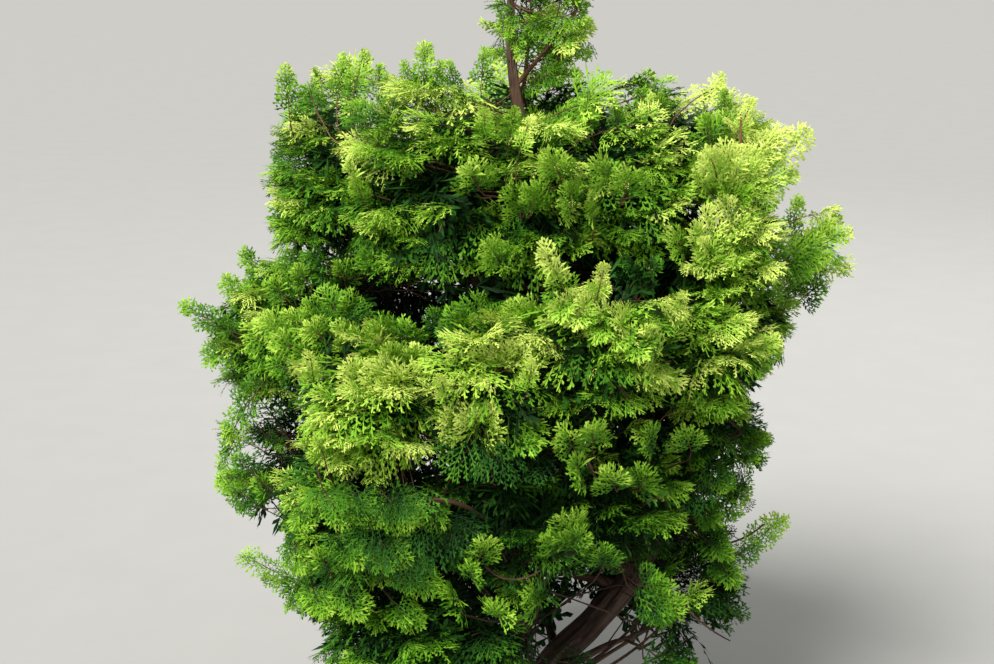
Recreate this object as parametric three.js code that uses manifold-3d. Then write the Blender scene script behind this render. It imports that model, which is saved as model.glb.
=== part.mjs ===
// A dwarf hinoki cypress: a small garden conifer with a crooked trunk, rising boughs and shell-like pads of
// scale foliage in tiers, with one leader above them. Millimetres, +Z up, and the viewer stands at -Y. The
// origin is the middle of the flat cut under the trunk, at ground level.
//
// Every mass of foliage is grown by one rule. A stem runs into an ellipsoid of space, twigs leave it in
// layers, and each twig ends in a frond, a toothed blade that is thick in the middle. The fronds stand out of
// a lumpy core, where the real plant is too dense to see into. Planes between neighbours keep each mass to
// its own space. Chance comes from one seeded function, so the plant is the same each time.
import * as THREE from "three";
import { mergeVertices } from "three/addons/utils/BufferGeometryUtils.js";
import Module from "manifold-3d";

const wasm = await Module();
wasm.setup();
const { Manifold, Mesh } = wasm;

// ---- driving dimensions ------------------------------------------------------------------------------

const SEED = 4; // another number grows another plant of the same make
const CLEARANCE = 0.35; // left between solids that meet
const FINEST = 0.02; // shorter edges, left by cuts and joins, close up
const TRUNK_TIP = 650; // height of the leader's bare wood
const TRUNK_FOOT_RADIUS = 13.4; // just above the root flare
const TRUNK_TOP_RADIUS = 2.4; // just below the tip
const ROOT_FLARE = 0.62; // share that the flare adds to the radius at the ground
const FLARE_HEIGHT = 26;
const ROOT_RIDGES = 5;
const TRUNK_SIDES = 10;
const TRUNK_RINGS = 16;
const BOUGH_SIDES = 5;
const BOUGH_RINGS = 5;
const BOUGH_TIP_RADIUS = 2.2;
const BOUGH_ROOT_SHARE = 0.5; // of the trunk's radius where the bough leaves
const BOUGH_STAGGER = [0, 18, -18]; // so that neighbours leave the trunk at different heights
const STEM_RADIUS = 2.1;
const STEM_TIP_RADIUS = 1.1;

// The core of a mass, as a share of its size, and how much its surface rises and falls.
const CORE_SHARE = 0.54;
const CORE_LUMPS = 0.1;

// A frond, as shares of its own length.
const FROND_TEETH = 4;
const FROND_HALF_ANGLE = 70; // degrees each side of its axis
const FROND_SHOULDER = 0.2; // how much shorter the outermost teeth are
const FROND_NOTCH = 0.76; // depth of the notch between teeth
const FROND_CROWN = 0.1; // height of its middle above the rim
const FROND_BELLY = 0.06; // and below it
const FROND_DROOP = 0.16; // how far the rim curls down
const FROND_MIDDLE = 0.5;
const FROND_STALK = 1.5; // half-width at the root, in mm
const FROND_ROOT = 0.34; // a frond starts at this share of the way to the edge of its mass
const FROND_SINK = 0.25; // and its twig this share of the frond's length further in

// The trunk's line, as [height, sideways, back], by how it leans out from the foot and comes back.
const TRUNK_LINE = [
  [0, 0, 0],
  [45, 3, 0],
  [80, 14, 0],
  [118, 50, 3],
  [162, 84, 8],
  [215, 98, 12],
  [285, 86, 12],
  [355, 56, 9],
  [425, 24, 5],
  [490, -2, 2],
  [551, -17, 0],
  [612, -20, 0],
  [TRUNK_TIP, -15, 0],
];

// Layers of fronds in a mass: how many, how steeply they point up, in degrees, and how far round they go
// from the mass's outward direction.
const CLOUD = [
  { fronds: 2, pitch: -46, round: 46 },
  { fronds: 3, pitch: -4, round: 96 },
  { fronds: 2, pitch: 36, round: 54 },
  { fronds: 1, pitch: 80, round: 0 },
];
const HANGING = [
  { fronds: 2, pitch: -58, round: 52 },
  { fronds: 3, pitch: -18, round: 98 },
  { fronds: 2, pitch: 22, round: 56 },
  { fronds: 1, pitch: 70, round: 0 },
];
const SPIRE = [
  { fronds: 2, pitch: -30, round: 70 },
  { fronds: 3, pitch: 12, round: 120 },
  { fronds: 2, pitch: 48, round: 66 },
  { fronds: 1, pitch: 84, round: 0 },
];

// The tiers of the crown. Each lobe is one mass: its direction from the axis in degrees (-90 is the front),
// how far out and how high its middle is, and its half sizes outwards, sideways and up. A tier's rise is how
// far below a mass its bough leaves the trunk, and a lobe with no bough grows from the trunk itself.
const TIERS = [
  {
    name: "skirt",
    layers: HANGING,
    rise: 96,
    lobes: [
      { side: "front_left", at: -130, reach: 150, height: 162, out: 76, wide: 94, tall: 86 },
      { side: "front", at: -94, reach: 136, height: 168, out: 70, wide: 84, tall: 92 },
      { side: "front_right", at: -46, reach: 130, height: 158, out: 62, wide: 62, tall: 64 },
      { side: "right", at: -4, reach: 132, height: 146, out: 60, wide: 70, tall: 74, bare: true },
      { side: "back_right", at: 44, reach: 134, height: 160, out: 74, wide: 84, tall: 80 },
      { side: "back", at: 88, reach: 140, height: 164, out: 76, wide: 86, tall: 82 },
      { side: "back_left", at: 132, reach: 144, height: 158, out: 76, wide: 86, tall: 84 },
      { side: "left", at: 172, reach: 142, height: 162, out: 74, wide: 82, tall: 80 },
    ],
  },
  {
    name: "lower",
    layers: HANGING,
    rise: 92,
    lobes: [
      { side: "front_left", at: -134, reach: 176, height: 264, out: 72, wide: 86, tall: 76 },
      { side: "front", at: -102, reach: 136, height: 272, out: 68, wide: 82, tall: 80 },
      { side: "front_right", at: -66, reach: 122, height: 268, out: 64, wide: 76, tall: 80, bare: true },
      { side: "right", at: -25, reach: 148, height: 286, out: 68, wide: 78, tall: 74, bare: true },
      { side: "back_right", at: 30, reach: 162, height: 266, out: 74, wide: 88, tall: 78, bare: true },
      { side: "back", at: 78, reach: 168, height: 268, out: 76, wide: 92, tall: 80 },
      { side: "back_left", at: 126, reach: 178, height: 262, out: 76, wide: 96, tall: 80 },
      { side: "left", at: 172, reach: 198, height: 256, out: 66, wide: 86, tall: 76 },
    ],
  },
  {
    name: "middle",
    layers: CLOUD,
    rise: 88,
    lobes: [
      { side: "front_left", at: -127, reach: 188, height: 346, out: 72, wide: 78, tall: 66 },
      { side: "front", at: -102, reach: 184, height: 362, out: 64, wide: 62, tall: 64 },
      { side: "front_arch", at: -76, reach: 160, height: 388, out: 72, wide: 76, tall: 74 },
      { side: "front_right", at: -40, reach: 146, height: 366, out: 70, wide: 76, tall: 72, bare: true },
      { side: "right", at: 2, reach: 168, height: 366, out: 66, wide: 80, tall: 70, bare: true },
      { side: "back_right", at: 44, reach: 168, height: 358, out: 76, wide: 88, tall: 76 },
      { side: "back", at: 88, reach: 174, height: 358, out: 76, wide: 92, tall: 76 },
      { side: "back_left", at: 132, reach: 180, height: 354, out: 76, wide: 92, tall: 76 },
      { side: "left", at: 174, reach: 184, height: 350, out: 90, wide: 86, tall: 74 },
    ],
  },
  {
    name: "upper",
    layers: CLOUD,
    rise: 78,
    lobes: [
      { side: "left", at: 166, reach: 146, height: 466, out: 80, wide: 96, tall: 112 },
      { side: "front_right", at: -26, reach: 144, height: 432, out: 66, wide: 66, tall: 62, bare: true },
      { side: "arm", at: 14, reach: 206, height: 414, out: 66, wide: 56, tall: 52 },
      { side: "right", at: 2, reach: 142, height: 494, out: 66, wide: 68, tall: 70, bare: true },
      { side: "back_right", at: 46, reach: 136, height: 486, out: 76, wide: 80, tall: 80, bare: true },
      { side: "back", at: 104, reach: 126, height: 466, out: 84, wide: 100, tall: 96, bare: true },
    ],
  },
  {
    name: "crown",
    layers: CLOUD,
    rise: 56,
    lobes: [
      { side: "front_left", at: -138, reach: 102, height: 474, out: 78, wide: 88, tall: 106, bare: true },
      { side: "front", at: -96, reach: 84, height: 468, out: 70, wide: 72, tall: 90, bare: true },
      { side: "front_right", at: -40, reach: 84, height: 474, out: 72, wide: 76, tall: 88, bare: true },
      { side: "back", at: 78, reach: 50, height: 500, out: 70, wide: 80, tall: 76, bare: true },
    ],
  },
  {
    name: "leader",
    layers: SPIRE,
    rise: 44,
    lobes: [
      { side: "right", at: -30, reach: 20, height: 594, out: 44, wide: 44, tall: 66, bare: true },
      { side: "back", at: 98, reach: 34, height: 592, out: 36, wide: 44, tall: 64, bare: true },
      { side: "top", at: 180, reach: 12, height: 654, out: 40, wide: 40, tall: 52, bare: true },
    ],
  },
];

// ---- chance and vectors ------------------------------------------------------------------------------

const V = (x, y, z) => new THREE.Vector3(x, y, z);
const UP = V(0, 0, 1);
const radians = THREE.MathUtils.degToRad;

// From 0 to 1, the same for the same three numbers.
function chance(a, b, c) {
  const x = Math.sin(a * 127.1 + b * 311.7 + c * 74.7 + SEED) * 43758.5453;
  return x - Math.floor(x);
}

const jitter = (a, b, c, size) => (2 * chance(a, b, c) - 1) * size;

// ---- solids ------------------------------------------------------------------------------------------

function solidOf(geometry) {
  const bare = new THREE.BufferGeometry();
  bare.setAttribute("position", geometry.getAttribute("position"));
  bare.setIndex(geometry.getIndex());
  const merged = mergeVertices(bare, 1e-4);
  return new Manifold(
    new Mesh({
      numProp: 3,
      vertProperties: new Float32Array(merged.getAttribute("position").array),
      triVerts: new Uint32Array(merged.getIndex().array),
    }),
  );
}

function geometryOf(solid) {
  const mesh = solid.getMesh();
  const points = new Float32Array(mesh.numVert * 3);
  for (let i = 0; i < mesh.numVert; i++)
    points.set(mesh.vertProperties.subarray(i * mesh.numProp, i * mesh.numProp + 3), i * 3);
  const geometry = new THREE.BufferGeometry();
  geometry.setAttribute("position", new THREE.BufferAttribute(points, 3));
  geometry.setIndex(new THREE.BufferAttribute(new Uint32Array(mesh.triVerts), 1));
  geometry.computeVertexNormals();
  return geometry;
}

// A closed skin over rings of points that all have the same count, with a flat cap at each end.
function loft(rings) {
  const sides = rings[0].length;
  const faces = [];
  for (let r = 0; r + 1 < rings.length; r++)
    for (let s = 0; s < sides; s++) {
      const a = r * sides + s;
      const b = r * sides + ((s + 1) % sides);
      faces.push(a, b, b + sides, a, b + sides, a + sides);
    }
  const last = (rings.length - 1) * sides;
  for (let s = 1; s + 1 < sides; s++) {
    faces.push(0, s + 1, s);
    faces.push(last, last + s, last + s + 1);
  }
  const geometry = new THREE.BufferGeometry().setFromPoints(rings.flat());
  geometry.setIndex(faces);
  return geometry;
}

// Rings across a curve at the given shares of it. radiusAt gives the radius for a share and a side, and each
// ring keeps the turn of the one before, so that the skin isn't twisted.
function ringsAlong(curve, shares, sides, radiusAt) {
  const side = V(0.3, 1, 0.2);
  return shares.map((t) => {
    const along = curve.getTangentAt(t);
    const centre = curve.getPointAt(t);
    side.addScaledVector(along, -side.dot(along)).normalize();
    const over = along.clone().cross(side);
    return Array.from({ length: sides }, (_, s) => {
      const turn = (s / sides) * Math.PI * 2;
      return centre
        .clone()
        .addScaledVector(side, Math.cos(turn) * radiusAt(t, s))
        .addScaledVector(over, Math.sin(turn) * radiusAt(t, s));
    });
  });
}

// Even steps from 0 to 1, with the given power bringing them closer to the start.
const steps = (count, power = 1) => Array.from({ length: count + 1 }, (_, i) => (i / count) ** power);

// A tapering limb along a curve. grow makes it fatter, for cutting a clear space round it.
function limb(curve, rootRadius, tipRadius, rings, sides, grow = 0) {
  const radiusAt = (t) => rootRadius + (tipRadius - rootRadius) * Math.sqrt(t) + grow;
  return solidOf(loft(ringsAlong(curve, steps(rings), sides, radiusAt)));
}

// ---- the trunk ---------------------------------------------------------------------------------------

const trunkCurve = new THREE.CatmullRomCurve3(TRUNK_LINE.map(([z, x, y]) => V(x, y, z)));

// The trunk tapers evenly to the leader, and flares into ridges at the ground.
function trunkRadius(height) {
  const share = Math.min(height / TRUNK_TIP, 1);
  const even = TRUNK_FOOT_RADIUS + (TRUNK_TOP_RADIUS - TRUNK_FOOT_RADIUS) * share;
  return even * (1 - 0.35 * share ** 20);
}

// The share of the curve at which the trunk has that height.
function trunkShare(height) {
  let low = 0;
  let high = 1;
  for (let i = 0; i < 30; i++) {
    const middle = (low + high) / 2;
    if (trunkCurve.getPointAt(middle).z < height) low = middle;
    else high = middle;
  }
  return low;
}

const trunkAt = (height) => trunkCurve.getPointAt(trunkShare(height));

function trunkSolid(grow = 0) {
  const radiusAt = (t, side) => {
    const height = trunkCurve.getPointAt(t).z;
    const flare = ROOT_FLARE * Math.max(0, 1 - height / FLARE_HEIGHT) ** 2;
    const ridge = Math.cos((side / TRUNK_SIDES) * Math.PI * 2 * ROOT_RIDGES);
    return trunkRadius(height) * (1 + flare * (1 + 0.45 * ridge)) + grow;
  };
  const rings = ringsAlong(trunkCurve, steps(TRUNK_RINGS, 1.25), TRUNK_SIDES, radiusAt);
  rings[0].forEach((point) => point.setZ(0));
  if (grow) rings.at(-1).forEach((point) => point.setZ(point.z + grow));
  return solidOf(loft(rings));
}

// ---- masses ------------------------------------------------------------------------------------------

// Every lobe with its middle, its own directions and the points that its stem passes.
function laidOut() {
  const masses = [];
  for (const tier of TIERS)
    tier.lobes.forEach((lobe, place) => {
      const turn = radians(lobe.at);
      const out = V(Math.cos(turn), Math.sin(turn), 0);
      const across = V(-Math.sin(turn), Math.cos(turn), 0);
      const middle = out.clone().multiplyScalar(lobe.reach).setZ(lobe.height);
      const spot = (o, u) =>
        middle.clone().addScaledVector(out, o * lobe.out).addScaledVector(UP, u * lobe.tall);
      const root = trunkAt(lobe.height - tier.rise - BOUGH_STAGGER[place % 3]);
      masses.push({
        ...lobe,
        tier,
        seed: masses.length + 1,
        name: `${tier.name}_foliage_${lobe.side}`,
        boughName: `${tier.name}_bough_${lobe.side}`,
        out,
        across,
        middle,
        half: V(lobe.out, lobe.wide, lobe.tall),
        root,
        start: lobe.bare ? root : spot(-0.66, -0.46),
        hub: spot(-0.2, -0.2),
        end: spot(0.3, 0.2),
        size: (lobe.out + lobe.wide + lobe.tall) / 3,
      });
    });
  return masses;
}

const masses = laidOut();

// How far beyond the plane between two masses a point lies. Below zero it is on the first one's side.
function beyond(point, mass, other) {
  const apart = other.middle.clone().sub(mass.middle);
  const distance = apart.length();
  const share = 0.5 + (mass.size ** 2 - other.size ** 2) / (2 * distance ** 2);
  return point.clone().sub(mass.middle).dot(apart) / distance - share * distance;
}

// How far the nearest plane to a neighbour is from a mass's middle in a direction.
function nearestPlane(mass, direction) {
  let nearest = Infinity;
  for (const other of masses) {
    const apart = other.middle.clone().sub(mass.middle).normalize();
    const slope = direction.dot(apart);
    if (other !== mass && slope > 0.05)
      nearest = Math.min(nearest, (-beyond(mass.middle, mass, other) - CLEARANCE) / slope);
  }
  return nearest;
}

const inOwnSpace = (point, mass) =>
  masses.every((other) => other === mass || beyond(point, mass, other) < -CLEARANCE);

// How far the mass reaches from its middle in a direction.
function reachOf(mass, direction) {
  const o = direction.dot(mass.out) / mass.half.x;
  const a = direction.dot(mass.across) / mass.half.y;
  const u = direction.z / mass.half.z;
  return 1 / Math.sqrt(o * o + a * a + u * u);
}

// ---- fronds ------------------------------------------------------------------------------------------

// The places of a mass's fronds: root, direction, the normal of the blade and its length.
function frondsOf(mass) {
  const made = [];
  mass.tier.layers.forEach((layer, row) => {
    for (let i = 0; i < layer.fronds; i++) {
      const seat = layer.fronds > 1 ? (2 * i) / (layer.fronds - 1) - 1 : 0;
      const turn = radians(seat * layer.round + jitter(mass.seed, row, i, 10));
      const pitch = radians(layer.pitch + jitter(mass.seed, row + 7, i, 9));
      const direction = mass.out
        .clone()
        .multiplyScalar(Math.cos(turn) * Math.cos(pitch))
        .addScaledVector(mass.across, Math.sin(turn) * Math.cos(pitch))
        .addScaledVector(UP, Math.sin(pitch));
      const full = reachOf(mass, direction) * (0.94 + jitter(mass.seed, row + 3, i, 0.06));
      const reach = Math.min(full, nearestPlane(mass, direction));
      const root = mass.middle.clone().addScaledVector(direction, reach * FROND_ROOT);
      const normal = UP.clone().addScaledVector(direction, -direction.z).normalize();
      normal.applyAxisAngle(direction, radians(jitter(mass.seed, row + 11, i, 24)));
      const length = reach * (1 - FROND_ROOT);
      made.push({ root, direction, normal, length });
    }
  });
  return made;
}

// A toothed blade on its twig, as one skin. The rim is a fan of teeth that curls down, with one point above
// and one below its middle, and its two root corners with a third below them are the twig's last ring.
function frondSolid(frond, length) {
  const across = frond.normal.clone().cross(frond.direction);
  const place = (u, v, w) =>
    frond.root
      .clone()
      .addScaledVector(frond.direction, u)
      .addScaledVector(across, v)
      .addScaledVector(frond.normal, w);
  const half = radians(FROND_HALF_ANGLE);
  const rim = [place(0, -FROND_STALK, 0)];
  for (let i = 0; i < 2 * FROND_TEETH - 1; i++) {
    const seat = i / (FROND_TEETH - 1) - 1;
    const far = length * (1 - FROND_SHOULDER * seat * seat) * (i % 2 ? FROND_NOTCH : 1);
    const drop = -FROND_DROOP * (far * far) / length;
    rim.push(place(far * Math.cos(seat * half), far * Math.sin(seat * half), drop));
  }
  rim.push(place(0, FROND_STALK, 0));
  const points = [
    ...rim,
    place(FROND_MIDDLE * length, 0, FROND_CROWN * length),
    place(FROND_MIDDLE * length, 0, -FROND_BELLY * length),
    place(0, 0, -FROND_STALK * 1.6),
  ];
  const last = rim.length - 1;
  const [crown, belly, keel] = [rim.length, rim.length + 1, rim.length + 2];
  const faces = [last, 0, crown, keel, belly, 0, last, belly, keel];
  for (let i = 0; i < last; i++) faces.push(i, i + 1, crown, i + 1, i, belly);

  // The twig goes back from the blade's root, sunk into the core.
  const sink = frond.direction.clone().multiplyScalar(-frond.length * FROND_SINK);
  const ring = [0, last, keel];
  const deep = ring.map((corner) => points.push(points[corner].clone().add(sink)) - 1);
  for (let s = 0; s < 3; s++) {
    const t = (s + 1) % 3;
    faces.push(ring[s], ring[t], deep[t], ring[s], deep[t], deep[s]);
  }
  faces.push(...deep);
  const geometry = new THREE.BufferGeometry().setFromPoints(points);
  geometry.setIndex(faces);
  return { solid: solidOf(geometry), rim };
}

// A lumpy, smaller copy of the mass's space, kept inside the planes between it and its neighbours.
function coreSolid(mass) {
  const geometry = new THREE.OctahedronGeometry(1, 1);
  const points = geometry.getAttribute("position");
  for (let i = 0; i < points.count; i++) {
    const direction = V(0, 0, 0).fromBufferAttribute(points, i).normalize();
    const key = direction.clone().multiplyScalar(3).round();
    const lump = 1 + jitter(mass.seed + key.x * 0.37, key.y * 0.71, key.z * 0.53, CORE_LUMPS);
    const full = reachOf(mass, direction) * CORE_SHARE * lump;
    const reach = Math.min(full, nearestPlane(mass, direction));
    points.setXYZ(i, ...mass.middle.clone().addScaledVector(direction, reach).toArray());
  }
  return solidOf(geometry);
}

// ---- growing the plant -------------------------------------------------------------------------------

const touches = (solid, others) => others.some((other) => solid.intersect(other).volume() > 0);

// The largest of the loose pieces that a cut leaves, without the tiny edges of the cut.
function largest(solid) {
  const pieces = solid.simplify(FINEST).decompose();
  return pieces.sort((a, b) => b.volume() - a.volume())[0];
}

const trunk = trunkSolid();
const clearOfLimbs = [trunkSolid(CLEARANCE)];

function boughSolid(mass) {
  const inwards = mass.start.clone().sub(mass.hub).normalize();
  const span = mass.start.distanceTo(mass.root);
  const lean = mass.out.clone().multiplyScalar(span * 0.3).addScaledVector(UP, span * 0.06);
  const curve = new THREE.CubicBezierCurve3(
    mass.root,
    mass.root.clone().add(lean),
    mass.start.clone().addScaledVector(inwards, span * 0.3),
    mass.start.clone().addScaledVector(inwards, CLEARANCE),
  );
  const rootRadius = Math.max(
    trunkRadius(mass.root.z) * BOUGH_ROOT_SHARE,
    BOUGH_TIP_RADIUS * 1.35,
  );
  const whole = limb(curve, rootRadius, BOUGH_TIP_RADIUS, BOUGH_RINGS, BOUGH_SIDES);
  const grown = limb(curve, rootRadius, BOUGH_TIP_RADIUS, BOUGH_RINGS, BOUGH_SIDES, CLEARANCE);
  const cut = clearOfLimbs.reduce((solid, other) => solid.subtract(other), whole);
  clearOfLimbs.push(grown);
  return largest(cut);
}

// A mass's stem, from its bough's tip or the trunk into its core.
function stemSolid(mass, grow = 0) {
  const curve = new THREE.QuadraticBezierCurve3(mass.start, mass.hub, mass.end);
  return limb(curve, STEM_RADIUS, STEM_TIP_RADIUS, 2, 4, grow);
}

function massSolid(mass) {
  const others = masses.filter((other) => other.bare && other !== mass);
  const clear = [...clearOfLimbs, ...others.map((other) => other.clearOfStem)];
  const parts = [stemSolid(mass), coreSolid(mass)];
  for (const frond of frondsOf(mass))
    for (const share of [1, 0.86, 0.72, 0.58]) {
      const { solid, rim } = frondSolid(frond, frond.length * share);
      if (!rim.every((point) => inOwnSpace(point, mass))) continue;
      if (touches(solid, clear)) continue;
      parts.push(solid);
      break;
    }
  const joined = parts.reduce((whole, piece) => whole.add(piece));
  return largest(clear.reduce((solid, other) => solid.subtract(other), joined));
}

const bark = new THREE.MeshStandardMaterial({ color: 0x6b4a38, roughness: 0.9, metalness: 0 });
const green = new THREE.MeshStandardMaterial({ color: 0x4f8a24, roughness: 0.75, metalness: 0 });

function named(name, solid, material) {
  const mesh = new THREE.Mesh(geometryOf(solid), material);
  mesh.name = name;
  return mesh;
}

for (const mass of masses) if (mass.bare) mass.clearOfStem = stemSolid(mass, CLEARANCE);

const tree = new THREE.Group();
tree.add(named("trunk", trunk, bark));
for (const mass of masses) if (!mass.bare) tree.add(named(mass.boughName, boughSolid(mass), bark));
for (const mass of masses) tree.add(named(mass.name, massSolid(mass), green));

export default tree;
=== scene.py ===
"""The looks of a dwarf hinoki cypress: bark in relief, twigs, and fans of scale leaves in tiers.

The plant's plan is in millimetres, with the origin in the middle of the flat cut under its trunk, +Z up and
the viewer at -Y. It becomes metres where a mesh is made. Every mass of foliage grows by one rule: a stem runs
into an ellipsoid of space, twigs leave it in layers, and each twig carries a fan of branchlets. A mass keeps
to its side of the planes between it and its neighbours.
"""

import logging
import math
from dataclasses import dataclass, field, fields
from enum import Enum
from typing import Callable

import bpy
import numpy as np
from bpy.types import Material, Node, NodeSocket, NodeTree, Object
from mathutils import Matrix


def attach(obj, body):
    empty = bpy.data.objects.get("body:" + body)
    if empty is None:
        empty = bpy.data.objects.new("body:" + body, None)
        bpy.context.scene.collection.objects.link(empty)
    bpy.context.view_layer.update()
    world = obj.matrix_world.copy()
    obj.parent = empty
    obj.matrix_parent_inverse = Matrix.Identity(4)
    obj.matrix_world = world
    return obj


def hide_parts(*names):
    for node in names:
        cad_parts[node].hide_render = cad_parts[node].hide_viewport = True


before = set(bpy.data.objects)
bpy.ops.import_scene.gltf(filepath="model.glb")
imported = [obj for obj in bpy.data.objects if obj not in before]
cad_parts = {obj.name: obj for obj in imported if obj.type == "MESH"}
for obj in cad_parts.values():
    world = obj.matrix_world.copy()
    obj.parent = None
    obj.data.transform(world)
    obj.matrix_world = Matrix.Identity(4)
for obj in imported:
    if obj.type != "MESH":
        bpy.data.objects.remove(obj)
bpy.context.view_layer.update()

log = logging.getLogger("cypress")

MM = 0.001  # metres in a millimetre
SEED = 4  # another number grows another plant of the same make
CLEARANCE = 0.35  # between solids that meet, in mm
UP = np.array([0.0, 0.0, 1.0])
ROOT_BODY = "root"
Point = tuple[float, float, float]
Array = np.ndarray
Colour = tuple[float, float, float]  # red, green and blue, linear


# ---- chance and vectors ------------------------------------------------------------------------------


def chance(a: Array, b: Array, c: Array) -> Array:
    """Gives a number from 0 to 1 that is the same for the same three numbers.

    It is the fraction left of a large multiple of the sine of a weighted sum.

    Args:
        a: First number, or an array of them.
        b: Second number.
        c: Third number.

    Returns:
        The chances, in the shape that the three make together.
    """
    x = np.sin(np.asarray(a) * 127.1 + np.asarray(b) * 311.7 + np.asarray(c) * 74.7 + SEED) * 43758.5453
    return x - np.floor(x)


def jitter(a: Array, b: Array, c: Array, size: float) -> Array:
    """Gives a chance spread evenly from -size to size."""
    return (2 * chance(a, b, c) - 1) * size


def scatter(seed: int, numbers: Array, first: int, half: tuple[float, float, float]) -> Array:
    """Gives points spread evenly in a box round the origin.

    Args:
        seed: First number of their chance.
        numbers: Second number, one for each point.
        first: Third number, for x. Those for y and z come after it.
        half: Half the box's sides.

    Returns:
        The points, N by 3.
    """
    return np.stack([jitter(seed, numbers, first + k, 1.0) for k in range(3)], axis=1) * half


def heading(turns: Array, climbs: Array) -> Array:
    """Gives the directions cos(turn) cos(climb), sin(turn) cos(climb) and sin(climb) along x, y and z."""
    return np.stack([np.cos(turns) * np.cos(climbs), np.sin(turns) * np.cos(climbs), np.sin(climbs)], axis=-1)


def unit(vectors: Array) -> Array:
    """Divides each vector by its length."""
    return vectors / np.maximum(np.linalg.norm(vectors, axis=-1, keepdims=True), 1e-12)


def turned(vectors: Array, axes: Array, angles: Array) -> Array:
    """Turns vectors about unit axes.

    The turned vector is v cos(a) + (k x v) sin(a) + k (k.v)(1 - cos(a)).

    Args:
        vectors: N by 3.
        axes: N by 3, of length 1.
        angles: N angles in radians.

    Returns:
        The turned vectors, N by 3.
    """
    cos, sin = np.cos(angles)[:, None], np.sin(angles)[:, None]
    along = np.sum(vectors * axes, axis=1, keepdims=True)
    return vectors * cos + np.cross(axes, vectors) * sin + axes * along * (1 - cos)


def bezier(controls: Array, shares: Array) -> Array:
    """Points on Bezier curves: the controls weighted by the Bernstein polynomials.

    Args:
        controls: Curves by controls by 3.
        shares: Shares of the way along, from 0 to 1.

    Returns:
        Curves by shares by 3.
    """
    degree = controls.shape[1] - 1
    weights = np.stack(
        [math.comb(degree, i) * shares**i * (1 - shares) ** (degree - i) for i in range(degree + 1)]
    )
    return np.einsum("cki,ks->csi", controls, weights)


# ---- meshes ------------------------------------------------------------------------------------------


def make_piece(
    name: str,
    points: Array,
    faces: Array,
    material: Material,
    smooth: bool = False,
    places: Array | None = None,
) -> Object:
    """Makes one visible piece from whole arrays and lets it ride with the plant.

    Args:
        name: The piece's name.
        points: Vertices in millimetres, N by 3.
        faces: Vertex numbers of its triangles, N by 3, counter-clockwise from outside.
        material: Its finish.
        smooth: Whether faces are shaded as one smooth skin.
        places: Where each vertex lies along and round its limb, for the bark's pattern.

    Returns:
        The new object.
    """
    mesh = bpy.data.meshes.new(name)
    mesh.vertices.add(len(points))
    mesh.vertices.foreach_set("co", (points * MM).astype(np.float32).ravel())
    mesh.loops.add(faces.size)
    mesh.loops.foreach_set("vertex_index", faces.astype(np.int32).ravel())
    mesh.polygons.add(len(faces))
    mesh.polygons.foreach_set("loop_start", np.arange(0, faces.size, 3, dtype=np.int32))
    mesh.polygons.foreach_set("use_smooth", np.full(len(faces), smooth))
    if places is not None:
        attribute = mesh.attributes.new(BARK_PLACE, "FLOAT_VECTOR", "POINT")
        attribute.data.foreach_set("vector", places.astype(np.float32).ravel())
    mesh.materials.append(material)
    mesh.update(calc_edges=True)
    obj = bpy.data.objects.new(name, mesh)
    bpy.context.scene.collection.objects.link(obj)
    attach(obj, ROOT_BODY)
    log.info("%s: %d triangles", name, len(faces))
    return obj


def skin_faces(rings: int, sides: int) -> Array:
    """Gives the triangles of a skin over rings of points, facing away from the line through the rings.

    Args:
        rings: How many rings there are.
        sides: Points in each.

    Returns:
        Vertex numbers, N by 3.
    """
    r, s = np.meshgrid(np.arange(rings - 1), np.arange(sides), indexing="ij")
    a, b = (r * sides + s).ravel(), (r * sides + (s + 1) % sides).ravel()
    return np.vstack([np.stack([a, b, b + sides], axis=1), np.stack([a, b + sides, a + sides], axis=1)])


# ---- finishes ----------------------------------------------------------------------------------------

BARK_PLACE = "bark_place"  # the attribute that says where a vertex lies round and along its limb


class NodeKit:
    """Adds and links shader nodes in one tree."""

    def __init__(self, tree: NodeTree) -> None:
        """Keeps the tree."""
        self.tree = tree

    def feed(self, socket: NodeSocket, value: object) -> None:
        """Gives an input its value, or links it.

        Args:
            socket: The input.
            value: The value, or the output to link to it.
        """
        if isinstance(value, NodeSocket):
            self.tree.links.new(value, socket)
        else:
            socket.default_value = value

    def dress(self, node: Node, **values: object) -> Node:
        """Sets a node's properties and feeds its inputs.

        Args:
            node: The node.
            values: Its properties by name, or its inputs by name with spaces as underscores.

        Returns:
            The node.
        """
        for key, value in values.items():
            if hasattr(node, key):
                setattr(node, key, value)
            else:
                self.feed(node.inputs[key.replace("_", " ")], value)
        return node

    def add(self, kind: str, **values: object) -> Node:
        """Adds a node of a type, named without its ShaderNode prefix, and dresses it."""
        prefix = "" if kind.startswith("NodeGroup") else "ShaderNode"
        return self.dress(self.tree.nodes.new(prefix + kind), **values)

    def math(self, operation: str, first: object, second: object) -> NodeSocket:
        """Adds a Math node.

        Args:
            operation: What it does.
            first: Its first value or the output that gives it.
            second: Its second one.

        Returns:
            Its output.
        """
        node = self.add("Math", operation=operation)
        for socket, value in zip(node.inputs, (first, second)):
            self.feed(socket, value)
        return node.outputs[0]

    def span(self, value: NodeSocket, **limits: float) -> NodeSocket:
        """Adds a Map Range node with the given limits, and gives its output."""
        return self.add("MapRange", Value=value, **limits).outputs["Result"]

    def mix(
        self, factor: NodeSocket, first: object, second: Colour, way: str = "MIX"
    ) -> NodeSocket:
        """Mixes two colours.

        Args:
            factor: How much there is of the second.
            first: Red, green and blue, or the output that gives them.
            second: Red, green and blue.
            way: The mixing mode.

        Returns:
            The mixed colour.
        """
        first = first if isinstance(first, NodeSocket) else (*first, 1.0)
        node = self.add("Mix", data_type="RGBA", blend_type=way, Factor=factor, A=first, B=(*second, 1.0))
        return node.outputs["Result"]


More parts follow.
